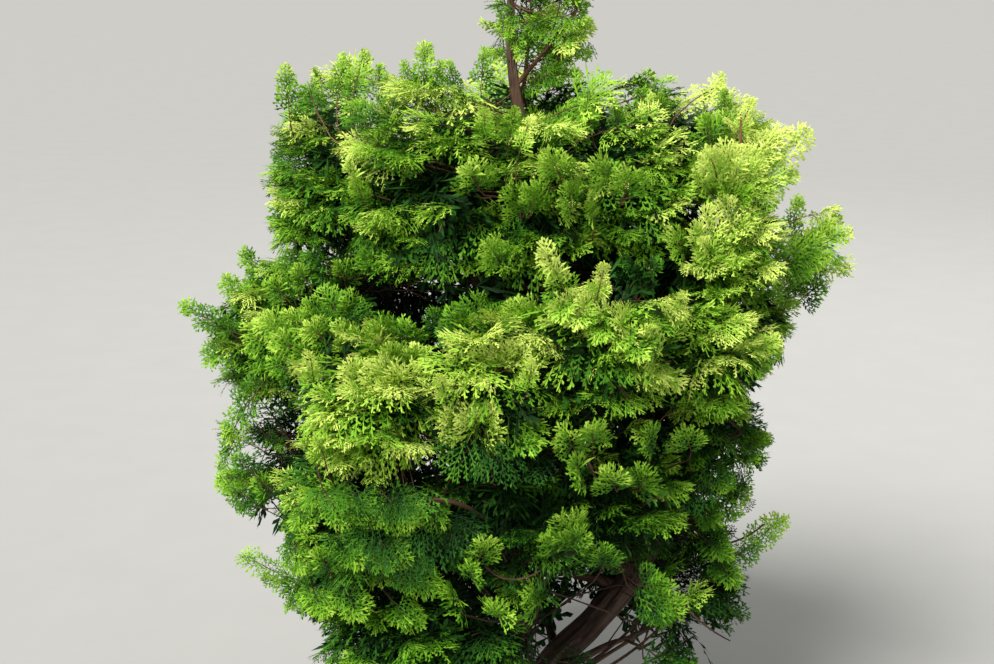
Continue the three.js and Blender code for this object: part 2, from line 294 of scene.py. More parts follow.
def new_group(name: str, inputs: tuple[str, ...], outputs: tuple[str, ...]) -> NodeKit:
    """Makes a shader node group that takes a vector called Vector and some numbers, and gives numbers.

    Args:
        name: Its name.
        inputs: Names of the numbers that go in.
        outputs: Names of those that come out.

    Returns:
        A kit on the group's tree.
    """
    tree = bpy.data.node_groups.new(name, "ShaderNodeTree")
    tree.interface.new_socket("Vector", in_out="INPUT", socket_type="NodeSocketVector")
    for way, labels in (("INPUT", inputs), ("OUTPUT", outputs)):
        for label in labels:
            tree.interface.new_socket(label, in_out=way, socket_type="NodeSocketFloat")
    return NodeKit(tree)


def scale_leaf_group() -> NodeTree:
    """Builds the pattern of scale leaves on a branchlet.

    Small cells stand for the overlapping scales, and a wider noise for the leaves' uneven age.

    Returns:
        A group with Vector, Scales and Ages in, and Age, Seam and Height out.
    """
    kit = new_group("scale_leaf_pattern", ("Scales", "Ages"), ("Age", "Seam", "Height"))
    given = kit.add("NodeGroupInput").outputs
    cells = kit.add("TexVoronoi", feature="SMOOTH_F1", Vector=given["Vector"], Scale=given["Scales"])
    ages = kit.add("TexNoise", Vector=given["Vector"], Scale=given["Ages"], Detail=2.0, Roughness=0.6)
    age = kit.span(ages.outputs["Fac"], From_Min=0.32, From_Max=0.68)
    seam = kit.span(cells.outputs["Distance"], From_Min=0.25, From_Max=0.75)
    kit.add("NodeGroupOutput", Age=age, Seam=seam, Height=kit.math("SUBTRACT", 1.0, seam))
    return kit.tree


def bark_fibre_group() -> NodeTree:
    """Builds the pattern of stringy bark.

    One noise is stretched along the limb for the fibres, one less so for the strips that peel, and one is
    nearly even for grey weathered patches.

    Returns:
        A group with Vector and Fineness in, and Fibre, Strip, Weather and Height out.
    """
    kit = new_group("bark_fibres", ("Fineness",), ("Fibre", "Strip", "Weather", "Height"))
    given = kit.add("NodeGroupInput").outputs

    def stretched(amount: float, share: float, detail: float) -> NodeSocket:
        """Adds a noise that is longer along the limb.

        Args:
            amount: What the distance along the limb is multiplied by.
            share: Its scale as a share of the fibres'.
            detail: Its detail.

        Returns:
            The noise's factor.
        """
        place = kit.add("Mapping", Vector=given["Vector"], Scale=(1.0, 1.0, amount)).outputs["Vector"]
        scale = kit.math("MULTIPLY", given["Fineness"], share)
        noise = kit.add("TexNoise", Vector=place, Scale=scale, Detail=detail, Roughness=0.62, Distortion=0.4)
        return noise.outputs["Fac"]

    fibre = kit.span(stretched(0.07, 1.0, 4.0), From_Min=0.35, From_Max=0.65)
    strip = kit.span(stretched(0.16, 0.34, 2.0), From_Min=0.47, From_Max=0.55)
    weather = kit.span(stretched(0.6, 0.12, 3.0), From_Min=0.5, From_Max=0.72)
    height = kit.math("ADD", fibre, kit.math("MULTIPLY", strip, 1.4))
    kit.add("NodeGroupOutput", Fibre=fibre, Strip=strip, Weather=weather, Height=height)
    return kit.tree


def new_material(name: str) -> tuple[Material, NodeKit, Node]:
    """Makes a material with its Principled shader.

    Args:
        name: The material's name.

    Returns:
        The material, a kit on its tree, and the shader.
    """
    material = bpy.data.materials.new(name)
    material.use_nodes = True
    return material, NodeKit(material.node_tree), material.node_tree.nodes["Principled BSDF"]


SEAM_TINT = (0.72, 0.8, 0.7)  # what the seams between scales multiply a leaf's colour by
FOOT_SHADE_TO = (0.2, 0.46)  # heights in metres over which the bark's painted shade fades out, darkest at the lower


@dataclass(frozen=True)
class LeafFinish:
    """Scale leaves of one tint, one of the lit and shaded copies of a leaf, with painted light and shade in
    it.

    Attributes:
        name: The finish's name.
        young: Base colour of the fresher scales.
        old: Base colour of the older ones.
        roughness: Of the leaf's waxy skin.
    """

    name: str
    young: Colour
    old: Colour
    roughness: float

    def build(self, pattern: NodeTree) -> Material:
        """Makes the material: the pattern's age mixes the two colours, and its seams darken and sink.

        Args:
            pattern: The group that makes the scale leaves' pattern.

        Returns:
            The material.
        """
        material, kit, shader = new_material("leaf_" + self.name)
        place = kit.add("TexCoord").outputs["Object"]
        marks = kit.add("Group", node_tree=pattern, Vector=place, Scales=620.0, Ages=150.0).outputs
        ages = kit.mix(marks["Age"], self.old, self.young)
        colour = kit.mix(marks["Seam"], ages, SEAM_TINT, "MULTIPLY")
        rough = kit.span(marks["Seam"], To_Min=self.roughness - 0.08, To_Max=self.roughness + 0.12)
        bump = kit.add("Bump", Strength=0.35, Distance=0.0004, Height=marks["Height"]).outputs["Normal"]
        kit.dress(shader, Base_Color=colour, Specular_IOR_Level=0.12, Roughness=rough, Normal=bump)
        return material


@dataclass(frozen=True)
class BarkFinish:
    """Stringy bark of one limb's age.

    Attributes:
        name: The finish's name.
        groove: Base colour between the fibres.
        fibre: Base colour of the fibres.
        strip: Base colour of the strips that peel.
        weather: Base colour of weathered patches.
        fineness: Noise scale of the fibres, for each metre.
        foot_shade: How much of the colour is left near the ground, where painted shade darkens the bark.
    """

    name: str
    groove: Colour
    fibre: Colour
    strip: Colour
    weather: Colour
    fineness: float
    foot_shade: float

    def build(self, pattern: NodeTree) -> Material:
        """Makes the material: grooves, fibres, strips and weathered patches are mixed one over the other.

        Args:
            pattern: The group that makes the bark's pattern.

        Returns:
            The material.
        """
        material, kit, shader = new_material(self.name)
        place = kit.add("Attribute", attribute_name=BARK_PLACE).outputs["Vector"]
        marks = kit.add("Group", node_tree=pattern, Vector=place, Fineness=self.fineness).outputs
        colour = self.groove
        layers = ((self.fibre, "Fibre", 1.0), (self.strip, "Strip", 0.55), (self.weather, "Weather", 0.45))
        for tint, label, share in layers:
            colour = kit.mix(kit.math("MULTIPLY", marks[label], share), colour, tint)
        # painted shade: the bark's colour is darkened towards the ground, most at the foot
        height = kit.add("SeparateXYZ", Vector=kit.add("TexCoord").outputs["Object"]).outputs["Z"]
        unshaded_share = kit.span(height, From_Min=FOOT_SHADE_TO[0], From_Max=FOOT_SHADE_TO[1], To_Min=self.foot_shade, To_Max=1.0)
        shaded_bark = kit.add("VectorMath", operation="SCALE", Vector=colour, Scale=unshaded_share).outputs["Vector"]
        rough = kit.span(marks["Strip"], To_Min=0.95, To_Max=0.7)
        bump = kit.add("Bump", Strength=0.6, Distance=0.0008, Height=marks["Height"]).outputs["Normal"]
        kit.dress(shader, Base_Color=shaded_bark, Roughness=rough, Normal=bump)
        return material


class Tint(Enum):
    """The tints of the leaves, lit and shaded copies of one leaf: from painted shade inside the crown to the
    newest, yellower tips in painted light.
    """

    SHADE = LeafFinish("shade", (0.007, 0.034, 0.004), (0.004, 0.020, 0.003), 0.65)
    DEEP = LeafFinish("deep", (0.027, 0.112, 0.011), (0.018, 0.080, 0.008), 0.62)
    DARK = LeafFinish("dark", (0.078, 0.232, 0.013), (0.053, 0.173, 0.010), 0.6)
    LEAF = LeafFinish("green", (0.162, 0.378, 0.019), (0.112, 0.292, 0.014), 0.58)
    BRIGHT = LeafFinish("bright", (0.305, 0.550, 0.040), (0.228, 0.462, 0.028), 0.56)
    LIME = LeafFinish("lime", (0.485, 0.710, 0.085), (0.385, 0.625, 0.062), 0.55)
    GOLD = LeafFinish("gold", (0.750, 0.865, 0.195), (0.620, 0.780, 0.130), 0.55)


TINTS = list(Tint)

TRUNK_BARK = BarkFinish(
    "trunk_bark",
    groove=(0.030, 0.016, 0.011),
    fibre=(0.115, 0.058, 0.036),
    strip=(0.215, 0.115, 0.070),
    weather=(0.190, 0.150, 0.120),
    fineness=420.0,
    foot_shade=0.55,
)
BOUGH_BARK = BarkFinish(
    "bough_bark",
    groove=(0.060, 0.024, 0.014),
    fibre=(0.190, 0.075, 0.038),
    strip=(0.330, 0.150, 0.075),
    weather=(0.170, 0.090, 0.055),
    fineness=700.0,
    foot_shade=0.34,
)


# ---- the plant's plan --------------------------------------------------------------------------------


@dataclass(frozen=True)
class Layer:
    """A layer of twigs in a mass.

    Attributes:
        pitch: How steeply they point up, in degrees.
        round: How far round they go from the mass's outward direction, in degrees.
    """

    pitch: float
    round: float


class Habit(Enum):
    """How the layers of a mass are set, from its underside to its top."""

    CLOUD = (Layer(-46, 46), Layer(-4, 96), Layer(36, 54), Layer(80, 0))
    HANGING = (Layer(-58, 52), Layer(-18, 98), Layer(22, 56), Layer(70, 0))
    SPIRE = (Layer(-30, 70), Layer(12, 120), Layer(48, 66), Layer(84, 0))


@dataclass(frozen=True)
class Lobe:
    """One mass of a tier.

    Attributes:
        side: Where it is, in words.
        at: Its direction from the axis in degrees, -90 being the front.
        reach: How far out its middle is.
        height: How high its middle is.
        out: Half its size outwards.
        wide: Half its size sideways.
        tall: Half its size up.
        bare: Whether it grows from the trunk with no bough.
        sun: How much lighter its leaves' tints are than its tier's, as painted light, or darker as painted
            shade.
        trim: How much of its reach its sprays fill.
    """

    side: str
    at: float
    reach: float
    height: float
    out: float
    wide: float
    tall: float
    bare: bool = False
    sun: float = 0.0
    trim: float = 1.0


@dataclass(frozen=True)
class Tier:
    """A tier of the crown.

    Attributes:
        name: Its name.
        habit: How its masses' layers are set.
        rise: How far below a mass its bough leaves the trunk.
        sun: How light its leaves' tints are, from 0 to 1, as the yellow of new growth and as painted light
            and shade.
        level: How far its sprays lie level and do not point out from the mass's middle, from 0 to 1.
        droop: How much a spray bends down, in radians.
        gap: Between its layers of sprays.
        lobes: Its masses.
    """

    name: str
    habit: Habit
    rise: float
    sun: float
    level: float
    droop: float
    gap: float
    lobes: tuple[Lobe, ...]


TIERS = (
    # the low tiers' smaller sun is painted shade, under the tiers above them
    Tier("skirt", Habit.HANGING, rise=96, sun=0.36, level=0.45, droop=0.5, gap=30, lobes=(
        Lobe("front_left", -130, 150, 162, 76, 94, 86, sun=0.06),
        Lobe("front", -94, 136, 168, 70, 84, 92, sun=-0.04),
        Lobe("front_right", -46, 130, 158, 62, 62, 64, sun=0.02),
        Lobe("right", -4, 132, 146, 60, 70, 74, bare=True, trim=0.82),
        Lobe("back_right", 44, 134, 160, 74, 84, 80),
        Lobe("back", 88, 140, 164, 76, 86, 82),
        Lobe("back_left", 132, 144, 158, 76, 86, 84),
        Lobe("left", 172, 142, 162, 74, 82, 80),
    )),
    Tier("lower", Habit.HANGING, rise=92, sun=0.36, level=0.5, droop=0.42, gap=29, lobes=(
        Lobe("front_left", -134, 176, 264, 72, 86, 76, sun=0.06),
        Lobe("front", -102, 136, 272, 68, 82, 80),
        Lobe("front_right", -66, 122, 268, 64, 76, 80, bare=True),
        Lobe("right", -25, 148, 286, 68, 78, 74, bare=True, sun=0.04, trim=0.76),
        Lobe("back_right", 30, 162, 266, 74, 88, 78, bare=True, trim=0.82),
        Lobe("back", 78, 168, 268, 76, 92, 80),
        Lobe("back_left", 126, 178, 262, 76, 96, 80),
        Lobe("left", 172, 198, 256, 66, 86, 76),
    )),
    Tier("middle", Habit.CLOUD, rise=88, sun=0.54, level=0.7, droop=0.2, gap=26, lobes=(
        Lobe("front_left", -127, 188, 346, 72, 78, 66, sun=0.20),
        Lobe("front", -102, 184, 362, 64, 62, 64, sun=0.20),
        Lobe("front_arch", -76, 160, 388, 72, 76, 74, sun=0.18),
        Lobe("front_right", -40, 146, 366, 70, 76, 72, bare=True, sun=0.12),
        Lobe("right", 2, 168, 366, 66, 80, 70, bare=True, sun=0.06, trim=0.86),
        Lobe("back_right", 44, 168, 358, 76, 88, 76),
        Lobe("back", 88, 174, 358, 76, 92, 76, sun=0.05),
        Lobe("back_left", 132, 180, 354, 76, 92, 76),
        Lobe("left", 174, 184, 350, 90, 86, 74),
    )),
    Tier("upper", Habit.CLOUD, rise=78, sun=0.54, level=0.82, droop=0.06, gap=25, lobes=(
        Lobe("left", 166, 146, 466, 80, 96, 112, sun=-0.04),
        Lobe("front_right", -26, 144, 432, 66, 66, 62, bare=True, sun=0.14),
        Lobe("arm", 14, 206, 414, 66, 56, 52, sun=0.04),
        Lobe("right", 2, 142, 494, 66, 68, 70, bare=True, sun=0.28, trim=0.86),
        Lobe("back_right", 46, 136, 486, 76, 80, 80, bare=True, trim=0.9),
        Lobe("back", 104, 126, 466, 84, 100, 96, bare=True),
    )),
    Tier("crown", Habit.CLOUD, rise=56, sun=0.51, level=0.82, droop=0.06, gap=25, lobes=(
        Lobe("front_left", -138, 102, 474, 78, 88, 106, bare=True),
        Lobe("front", -96, 84, 468, 70, 72, 90, bare=True),
        Lobe("front_right", -40, 84, 474, 72, 76, 88, bare=True, sun=0.06),
        Lobe("back", 78, 50, 500, 70, 80, 76, bare=True),
    )),
    Tier("leader", Habit.SPIRE, rise=44, sun=0.56, level=0.2, droop=0.1, gap=24, lobes=(
        Lobe("right", -30, 20, 594, 44, 44, 66, bare=True, sun=0.04, trim=0.84),
        Lobe("back", 98, 34, 592, 36, 44, 64, bare=True),
        Lobe("top", 180, 12, 654, 40, 40, 52, bare=True),
    )),
)

BOUGH_STAGGER = (0, 18, -18)  # so that neighbours leave the trunk at different heights
BACK_FROM = 45  # how far back the middle of a mass at the plant's back is, at least


@dataclass
class Mass:
    """A mass of foliage: an ellipsoid of space with a stem in it.

    Attributes:
        tier: Its tier.
        lobe: Its place and size.
        place: Its place in the tier's order.
        seed: Its own number, for chance.
        root: Where its bough or stem leaves the trunk.
        out: Its direction from the axis.
        across: The level direction across that.
        middle: Its middle.
        half: Half its sizes out, across and up.
    """

    tier: Tier
    lobe: Lobe
    place: int
    seed: int
    root: Array
    out: Array = field(init=False)
    across: Array = field(init=False)
    middle: Array = field(init=False)
    half: Array = field(init=False)

    def __post_init__(self) -> None:
        """Works out its own directions, its middle and its half sizes."""
        turn = math.radians(self.lobe.at)
        self.out = np.array([math.cos(turn), math.sin(turn), 0.0])
        self.across = np.array([-math.sin(turn), math.cos(turn), 0.0])
        self.middle = self.out * self.lobe.reach + UP * self.lobe.height
        self.half = np.array([self.lobe.out, self.lobe.wide, self.lobe.tall], float)

    @property
    def node(self) -> str:
        """Name of the solid that it stands for."""
        return f"{self.tier.name}_foliage_{self.lobe.side}"

    @property
    def bough_node(self) -> str:
        """Name of its bough's solid."""
        return f"{self.tier.name}_bough_{self.lobe.side}"

    @property
    def size(self) -> float:
        """Mean of its half sizes."""
        return float(self.half.mean())

    @property
    def far(self) -> bool:
        """Whether it is at the plant's back."""
        return bool(self.middle[1] > BACK_FROM)

    def spot(self, outwards: float, upwards: float) -> Array:
        """A point at shares of its half sizes outwards and upwards from its middle."""
        return self.middle + self.out * outwards * self.half[0] + UP * upwards * self.half[2]

    @property
    def stem(self) -> Array:
        """Start, hub and end of its stem's curve."""
        start = self.root if self.lobe.bare else self.spot(-0.66, -0.46)
        return np.stack([start, self.spot(-0.2, -0.2), self.spot(0.3, 0.2)])

    def directions(self, turns: Array, pitches: Array) -> Array:
        """Gives directions from its middle: out cos(t) cos(p) + across sin(t) cos(p) + up sin(p).

        Args:
            turns: The turns t, in radians.
            pitches: The pitches p, in radians.

        Returns:
            The directions, N by 3.
        """
        turns, pitches = turns[:, None], pitches[:, None]
        level = self.out * np.cos(turns) * np.cos(pitches) + self.across * np.sin(turns) * np.cos(pitches)
        return level + UP * np.sin(pitches)

    def reach(self, directions: Array) -> Array:
        """How far it reaches from its middle: 1 / sqrt of the sum of (direction / half size) squared."""
        own = np.stack([directions @ self.out, directions @ self.across, directions[:, 2]], axis=1)
        return 1 / np.sqrt(np.sum((own / self.half) ** 2, axis=1))


# ---- trunk and limbs ---------------------------------------------------------------------------------


@dataclass
class Trunk:
    """The trunk, whole from the flat cut at the ground to the leader's tip.

    Attributes:
        line: Its line as [height, sideways, back].
        tip: Height of the leader's bare wood.
        foot_radius: Just above the flare.
        top_radius: Just below the tip.
        flare: Share that the flare adds to the radius at the ground.
        flare_height: How high the flare reaches.
        ridges: Root ridges round the foot.
        sides: Points round a ring.
        rings: Rings along the trunk.
    """

    line: tuple[Point, ...] = (
        (0, 0, 0), (45, 3, 0), (80, 14, 0), (118, 50, 3), (162, 84, 8), (215, 98, 12), (285, 86, 12),
        (355, 56, 9), (425, 24, 5), (490, -2, 2), (551, -17, 0), (612, -20, 0), (650, -15, 0),
    )
    tip: float = 650
    foot_radius: float = 13.4
    top_radius: float = 2.4
    flare: float = 0.62
    flare_height: float = 26
    ridges: int = 5
    sides: int = 52
    rings: int = 220

    def centre_line(self, steps: int = 40) -> Array:
        """Gives close points on the trunk's curve.

        The curve is a centripetal Catmull-Rom spline: between two points it is the cubic that starts and ends
        with the slopes that the square roots of the distances to the next points give.

        Args:
            steps: Points in each stretch.

        Returns:
            The points, N by 3.
        """
        points = np.array([(x, y, z) for z, x, y in self.line], float)
        points = np.vstack([2 * points[0] - points[1], points, 2 * points[-1] - points[-2]])
        gaps = np.sqrt(np.linalg.norm(np.diff(points, axis=0), axis=1))[:, None]
        p0, p1, p2, p3 = points[:-3], points[1:-2], points[2:-1], points[3:]
        d0, d1, d2 = gaps[:-2], gaps[1:-1], gaps[2:]
        start = ((p1 - p0) / d0 - (p2 - p0) / (d0 + d1) + (p2 - p1) / d1) * d1
        end = ((p2 - p1) / d1 - (p3 - p1) / (d1 + d2) + (p3 - p2) / d2) * d1
        t = np.linspace(0, 1, steps, endpoint=False)[None, :, None]
        a, b, s, e = (v[:, None, :] for v in (p1, p2, start, end))
        curve = a + s * t + (3 * b - 3 * a - 2 * s - e) * t**2 + (2 * a - 2 * b + s + e) * t**3
        return np.vstack([curve.reshape(-1, 3), points[-2]])

    def radius(self, heights: Array) -> Array:
        """The trunk's radius, which tapers evenly and then quickly at the very tip."""
        share = np.minimum(heights / self.tip, 1)
        return (self.foot_radius + (self.top_radius - self.foot_radius) * share) * (1 - 0.35 * share**20)

    def at_height(self, height: float) -> Array:
        """The point of the trunk's line at a height."""
        line = self.centre_line()
        return np.array([np.interp(height, line[:, 2], line[:, i]) for i in range(3)])

    def build(self, material: Material) -> Object:
        """Makes the trunk's skin with its bark in relief.

        Each ring's radius is the taper, plus the flare with its root ridges, plus the bark's relief.

        Args:
            material: The bark.

        Returns:
            The trunk's piece.
        """
        line = self.centre_line()
        heights = self.tip * np.linspace(0, 1, self.rings) ** 1.1
        centres = np.stack([np.interp(heights, line[:, 2], line[:, i]) for i in range(3)], axis=1)
        around = np.linspace(0, 2 * math.pi, self.sides, endpoint=False)
        flare = self.flare * np.maximum(0, 1 - heights / self.flare_height) ** 2
        ridge = np.cos(around * self.ridges)
        radii = self.radius(heights)[:, None] * (1 + flare[:, None] * (1 + 0.45 * ridge[None, :]))
        depth = 0.09 * self.radius(heights)
        points, faces, places = limb_skin(centres, radii, depth, np.array([0.3, 1.0, 0.2]), seed=1)
        points[: self.sides + 1, 2] = 0.0  # the flat cut
        points[:, 2] = np.maximum(points[:, 2], 0.0)
        piece = make_piece("trunk_bark_relief", points, faces, material, True, places)
        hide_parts("trunk")
        return piece


def bark_relief(around: Array, along: Array, seed: int) -> Array:
    """Gives the bark's relief from -1 to 1: fibres, and wider strips with sharp edges.

    Fibres are sines round the limb whose phases wander slowly along it. A strip is where another such sum is
    above a threshold, and its edge is a steep smooth step.

    Args:
        around: Angles round the limb, rings by sides.
        along: Distance along it in millimetres, rings by sides.
        seed: The limb's number.

    Returns:
        The relief, rings by sides.
    """
    total = np.zeros_like(around)
    for k, (waves, length, weight) in enumerate(((5, 60, 0.3), (9, 34, 0.3), (14, 22, 0.25), (23, 15, 0.15))):
        phase = 2 * math.pi * chance(seed, k, 1)
        drift = 1.6 * np.sin(along / length + 2 * math.pi * chance(seed, k, 2))
        swell = 0.7 + 0.3 * np.sin(along / (length * 0.6) + 2 * math.pi * chance(seed, k, 3))
        total += weight * swell * np.sin(waves * around + drift + phase)
    wide = np.sin(3 * around + 1.3 * np.sin(along / 41 + seed))
    strip = wide + np.sin(7 * around + along / 19 + seed * 2.1)
    return 0.75 * total + 0.45 * np.tanh(5 * (strip - 0.5))


def limb_skin(
    centres: Array, radii: Array, depth: Array, side: Array, seed: int
) -> tuple[Array, Array, Array]:
    """Carries a ring along a line, pushed out and in by the bark's relief, and closes both ends.

    A point of a ring is centre + (side cos(a) + over sin(a)) (radius + depth relief), where side is the given
    vector with its part along the line taken out.

    Args:
        centres: The line, rings by 3.
        radii: Radius by ring, or by ring and side.
        depth: How deep the relief is, by ring.
        side: A vector that is nowhere along the line.
        seed: The limb's number.

    Returns:
        The points, the triangles, and each point's place on the limb in metres for the pattern.
    """
    rings, sides = radii.shape
    tangents = unit(np.gradient(centres, axis=0))
    across = unit(side[None, :] - tangents * (tangents @ side)[:, None])
    over = np.cross(tangents, across)
    along = np.concatenate([[0], np.cumsum(np.linalg.norm(np.diff(centres, axis=0), axis=1))])
    turn = np.linspace(0, 2 * math.pi, sides, endpoint=False)
    around, way = np.meshgrid(turn, along)
    full = radii + depth[:, None] * bark_relief(around, way, seed)
    spokes = across[:, None, :] * np.cos(around)[..., None] + over[:, None, :] * np.sin(around)[..., None]
    points = centres[:, None, :] + spokes * full[..., None]
    mean = radii.mean(axis=1)[:, None]
    places = np.stack([np.cos(around) * mean, np.sin(around) * mean, way + 100.0 * seed], axis=-1) * MM
    points = np.vstack([points.reshape(-1, 3), centres[0], centres[-1]])
    ends = np.array([[0, 0, places[0, 0, 2]], [0, 0, places[-1, 0, 2]]])
    places = np.vstack([places.reshape(-1, 3), ends])
    s = np.arange(sides)
    following = (s + 1) % sides
    foot, last = rings * sides, (rings - 1) * sides
    start_cap = np.stack([np.full(sides, foot), following, s], axis=1)
    end_cap = np.stack([np.full(sides, foot + 1), last + s, last + following], axis=1)
    return points, np.vstack([skin_faces(rings, sides), start_cap, end_cap]), places


@dataclass(frozen=True)
class BareTwig:
    """A twig that shows between the fans.

    Attributes:
        radius: Its radius where it starts.
        tip_radius: And where it ends.
        start: Where its curve starts.
        middle: What draws the curve aside.
        end: Where it ends.
    """

    radius: float
    tip_radius: float
    start: Point
    middle: Point
    end: Point


BARE_TWIGS = (
    BareTwig(2, 1.1, (-92, -160, 275), (-53, -214, 310), (-24, -130, 238)),
    BareTwig(1.8, 1.1, (37, -140, 382), (47, -232, 383), (71, -130, 333)),
    BareTwig(1.4, 0.9, (26, -140, 314), (30, -228, 330), (41, -140, 285)),
    BareTwig(1.9, 1.1, (67, -110, 253), (78, -172, 286), (107, -100, 267)),
    BareTwig(1.2, 0.8, (140, -56, 476), (146, -68, 506), (144, -66, 538)),
    BareTwig(1.6, 0.9, (16, -60, 94), (59, -66, 117), (92, -70, 166)),
    BareTwig(1.4, 0.8, (37, -70, 99), (74, -76, 122), (100, -80, 154)),
    BareTwig(1.3, 0.7, (49, -80, 101), (80, -80, 114), (120, -84, 142)),
    BareTwig(0.9, 0.5, (-38, -170, 234), (-19, -214, 230), (11, -160, 235)),
    BareTwig(1.2, 0.8, (-1, 4, 545), (17, -6, 566), (22, 0, 589)),
    BareTwig(0.9, 0.5, (106, -130, 187), (119, -146, 177), (142, -120, 155)),
    BareTwig(1.1, 0.6, (135, -60, 207), (158, -50, 203), (177, -44, 218)),
)
TWIG_SIDE = np.array([0.2, 1.0, 0.3])  # a vector that is nowhere along one of them
TWIG_SEED = 90


@dataclass
class Boughs:
    """The boughs, each with its mass's stem as one tapering limb, and the stems of masses with no bough.

    Attributes:
        root_share: Of the trunk's radius where the bough leaves.
        tip_radius: Where it enters its mass.
        stem_radius: Of a stem at its start.
        stem_tip_radius: And at its end.
        relief: Depth of the bark's relief as a share of a limb's radius.
        twig_relief: And of a bare twig's.
        sides: Points round a ring.
        rings: Rings along a bough, and again along a stem.
    """

    root_share: float = 0.5
    tip_radius: float = 2.2
    stem_radius: float = 2.1
    stem_tip_radius: float = 1.1
    relief: float = 0.1
    twig_relief: float = 0.12
    sides: int = 12
    rings: int = 22

    def line(self, mass: Mass, trunk: Trunk) -> tuple[Array, Array]:
        """Works out the limb of one mass.

        A bough is a cubic Bezier curve that leaves the trunk outwards and meets the stem along its line. A
        stem is a quadratic one. The radius falls with the square root of the way along each.

        Args:
            mass: The mass.
            trunk: The trunk that it grows from.

        Returns:
            The limb's line and its radii.
        """
        stem = mass.stem
        shares = np.linspace(0, 1, self.rings)
        stem_line = bezier(stem[None], shares)[0]
        stem_radii = self.stem_radius + (self.stem_tip_radius - self.stem_radius) * np.sqrt(shares)
        if mass.lobe.bare:
            return stem_line, stem_radii
        span = np.linalg.norm(stem[0] - mass.root)
        inwards = unit(stem[0] - stem[1])
        lean = mass.out * span * 0.3 + UP * span * 0.06
        controls = np.stack([mass.root, mass.root + lean, stem[0] + inwards * span * 0.3, stem[0]])
        bough_line = bezier(controls[None], shares)[0]
        root_radius = max(trunk.radius(mass.root[2]) * self.root_share, self.tip_radius * 1.35)
        bough_radii = root_radius + (self.tip_radius - root_radius) * np.sqrt(shares)
        return np.vstack([bough_line, stem_line[1:]]), np.concatenate([bough_radii, stem_radii[1:]])

    def build(self, masses: list[Mass], trunk: Trunk, material: Material) -> Object:
        """Makes all limbs and bare twigs as one piece.

        Args:
            masses: The masses.
            trunk: The trunk.
            material: The bark.

        Returns:
            The boughs' piece.
        """
        limbs = [(*self.line(mass, trunk), self.relief, mass.across, mass.seed + 1) for mass in masses]
        for k, twig in enumerate(BARE_TWIGS):
            curve = np.array([[twig.start, twig.middle, twig.end]], float)
            line = bezier(curve, np.linspace(0, 1, self.rings))[0]
            radii = np.linspace(twig.radius, twig.tip_radius, self.rings)
            limbs.append((line, radii, self.twig_relief, TWIG_SIDE, TWIG_SEED + k))
        points, faces, places, count = [], [], [], 0
        for line, radii, relief, side, seed in limbs:
            rings = np.repeat(radii[:, None], self.sides, axis=1)
            skin = limb_skin(line, rings, relief * radii, side, seed)
            points.append(skin[0])
            faces.append(skin[1] + count)
            places.append(skin[2])
            count += len(skin[0])
        points, faces, places = (np.vstack(part) for part in (points, faces, places))
        piece = make_piece("bough_bark_relief", points, faces, material, True, places)
        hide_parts(*(mass.bough_node for mass in masses if not mass.lobe.bare))
        return piece


# ---- fans --------------------------------------------------------------------------------------------

WIDEST = 0.7  # share of a branchlet's length at which it is widest, so that its end is blunt
RIDGE = 0.62  # height of its ridge as a share of its half-width
SLIVER_FACES = np.array([[0, 2, 3], [0, 3, 1]])


@dataclass
class Slivers:
    """Flat leafy branchlets of a fan, each of them a blade folded along its middle.

    The fan's plane has u along it and v across it, and w is the height above it, all as shares of its length.

    Attributes:
        foot: Where each starts.
        ahead: Its direction.
        left: The direction of its flat side.
        length: Its length.
        half_width: Half its greatest width.
        level: How far from the fan's root it ends, from 0 to 1.
    """

    foot: Array
    ahead: Array
    left: Array
    length: Array
    half_width: Array
    level: Array

    def corners(self) -> Array:
        """Gives the four corners of each.

        They are the foot, a left and a right corner at the widest place, and a tip that stands a little above
        them, so that the upper side is a low ridge.

        Returns:
            Slivers by 4 by 3.
        """
        over = np.cross(self.ahead, self.left)
        wide = self.foot + self.ahead * (self.length * WIDEST)[:, None]
        half = self.left * self.half_width[:, None]
        tip = self.foot + self.ahead * self.length[:, None] + over * (self.half_width * RIDGE)[:, None]
        return np.stack([self.foot, wide + half, wide - half, tip], axis=1)


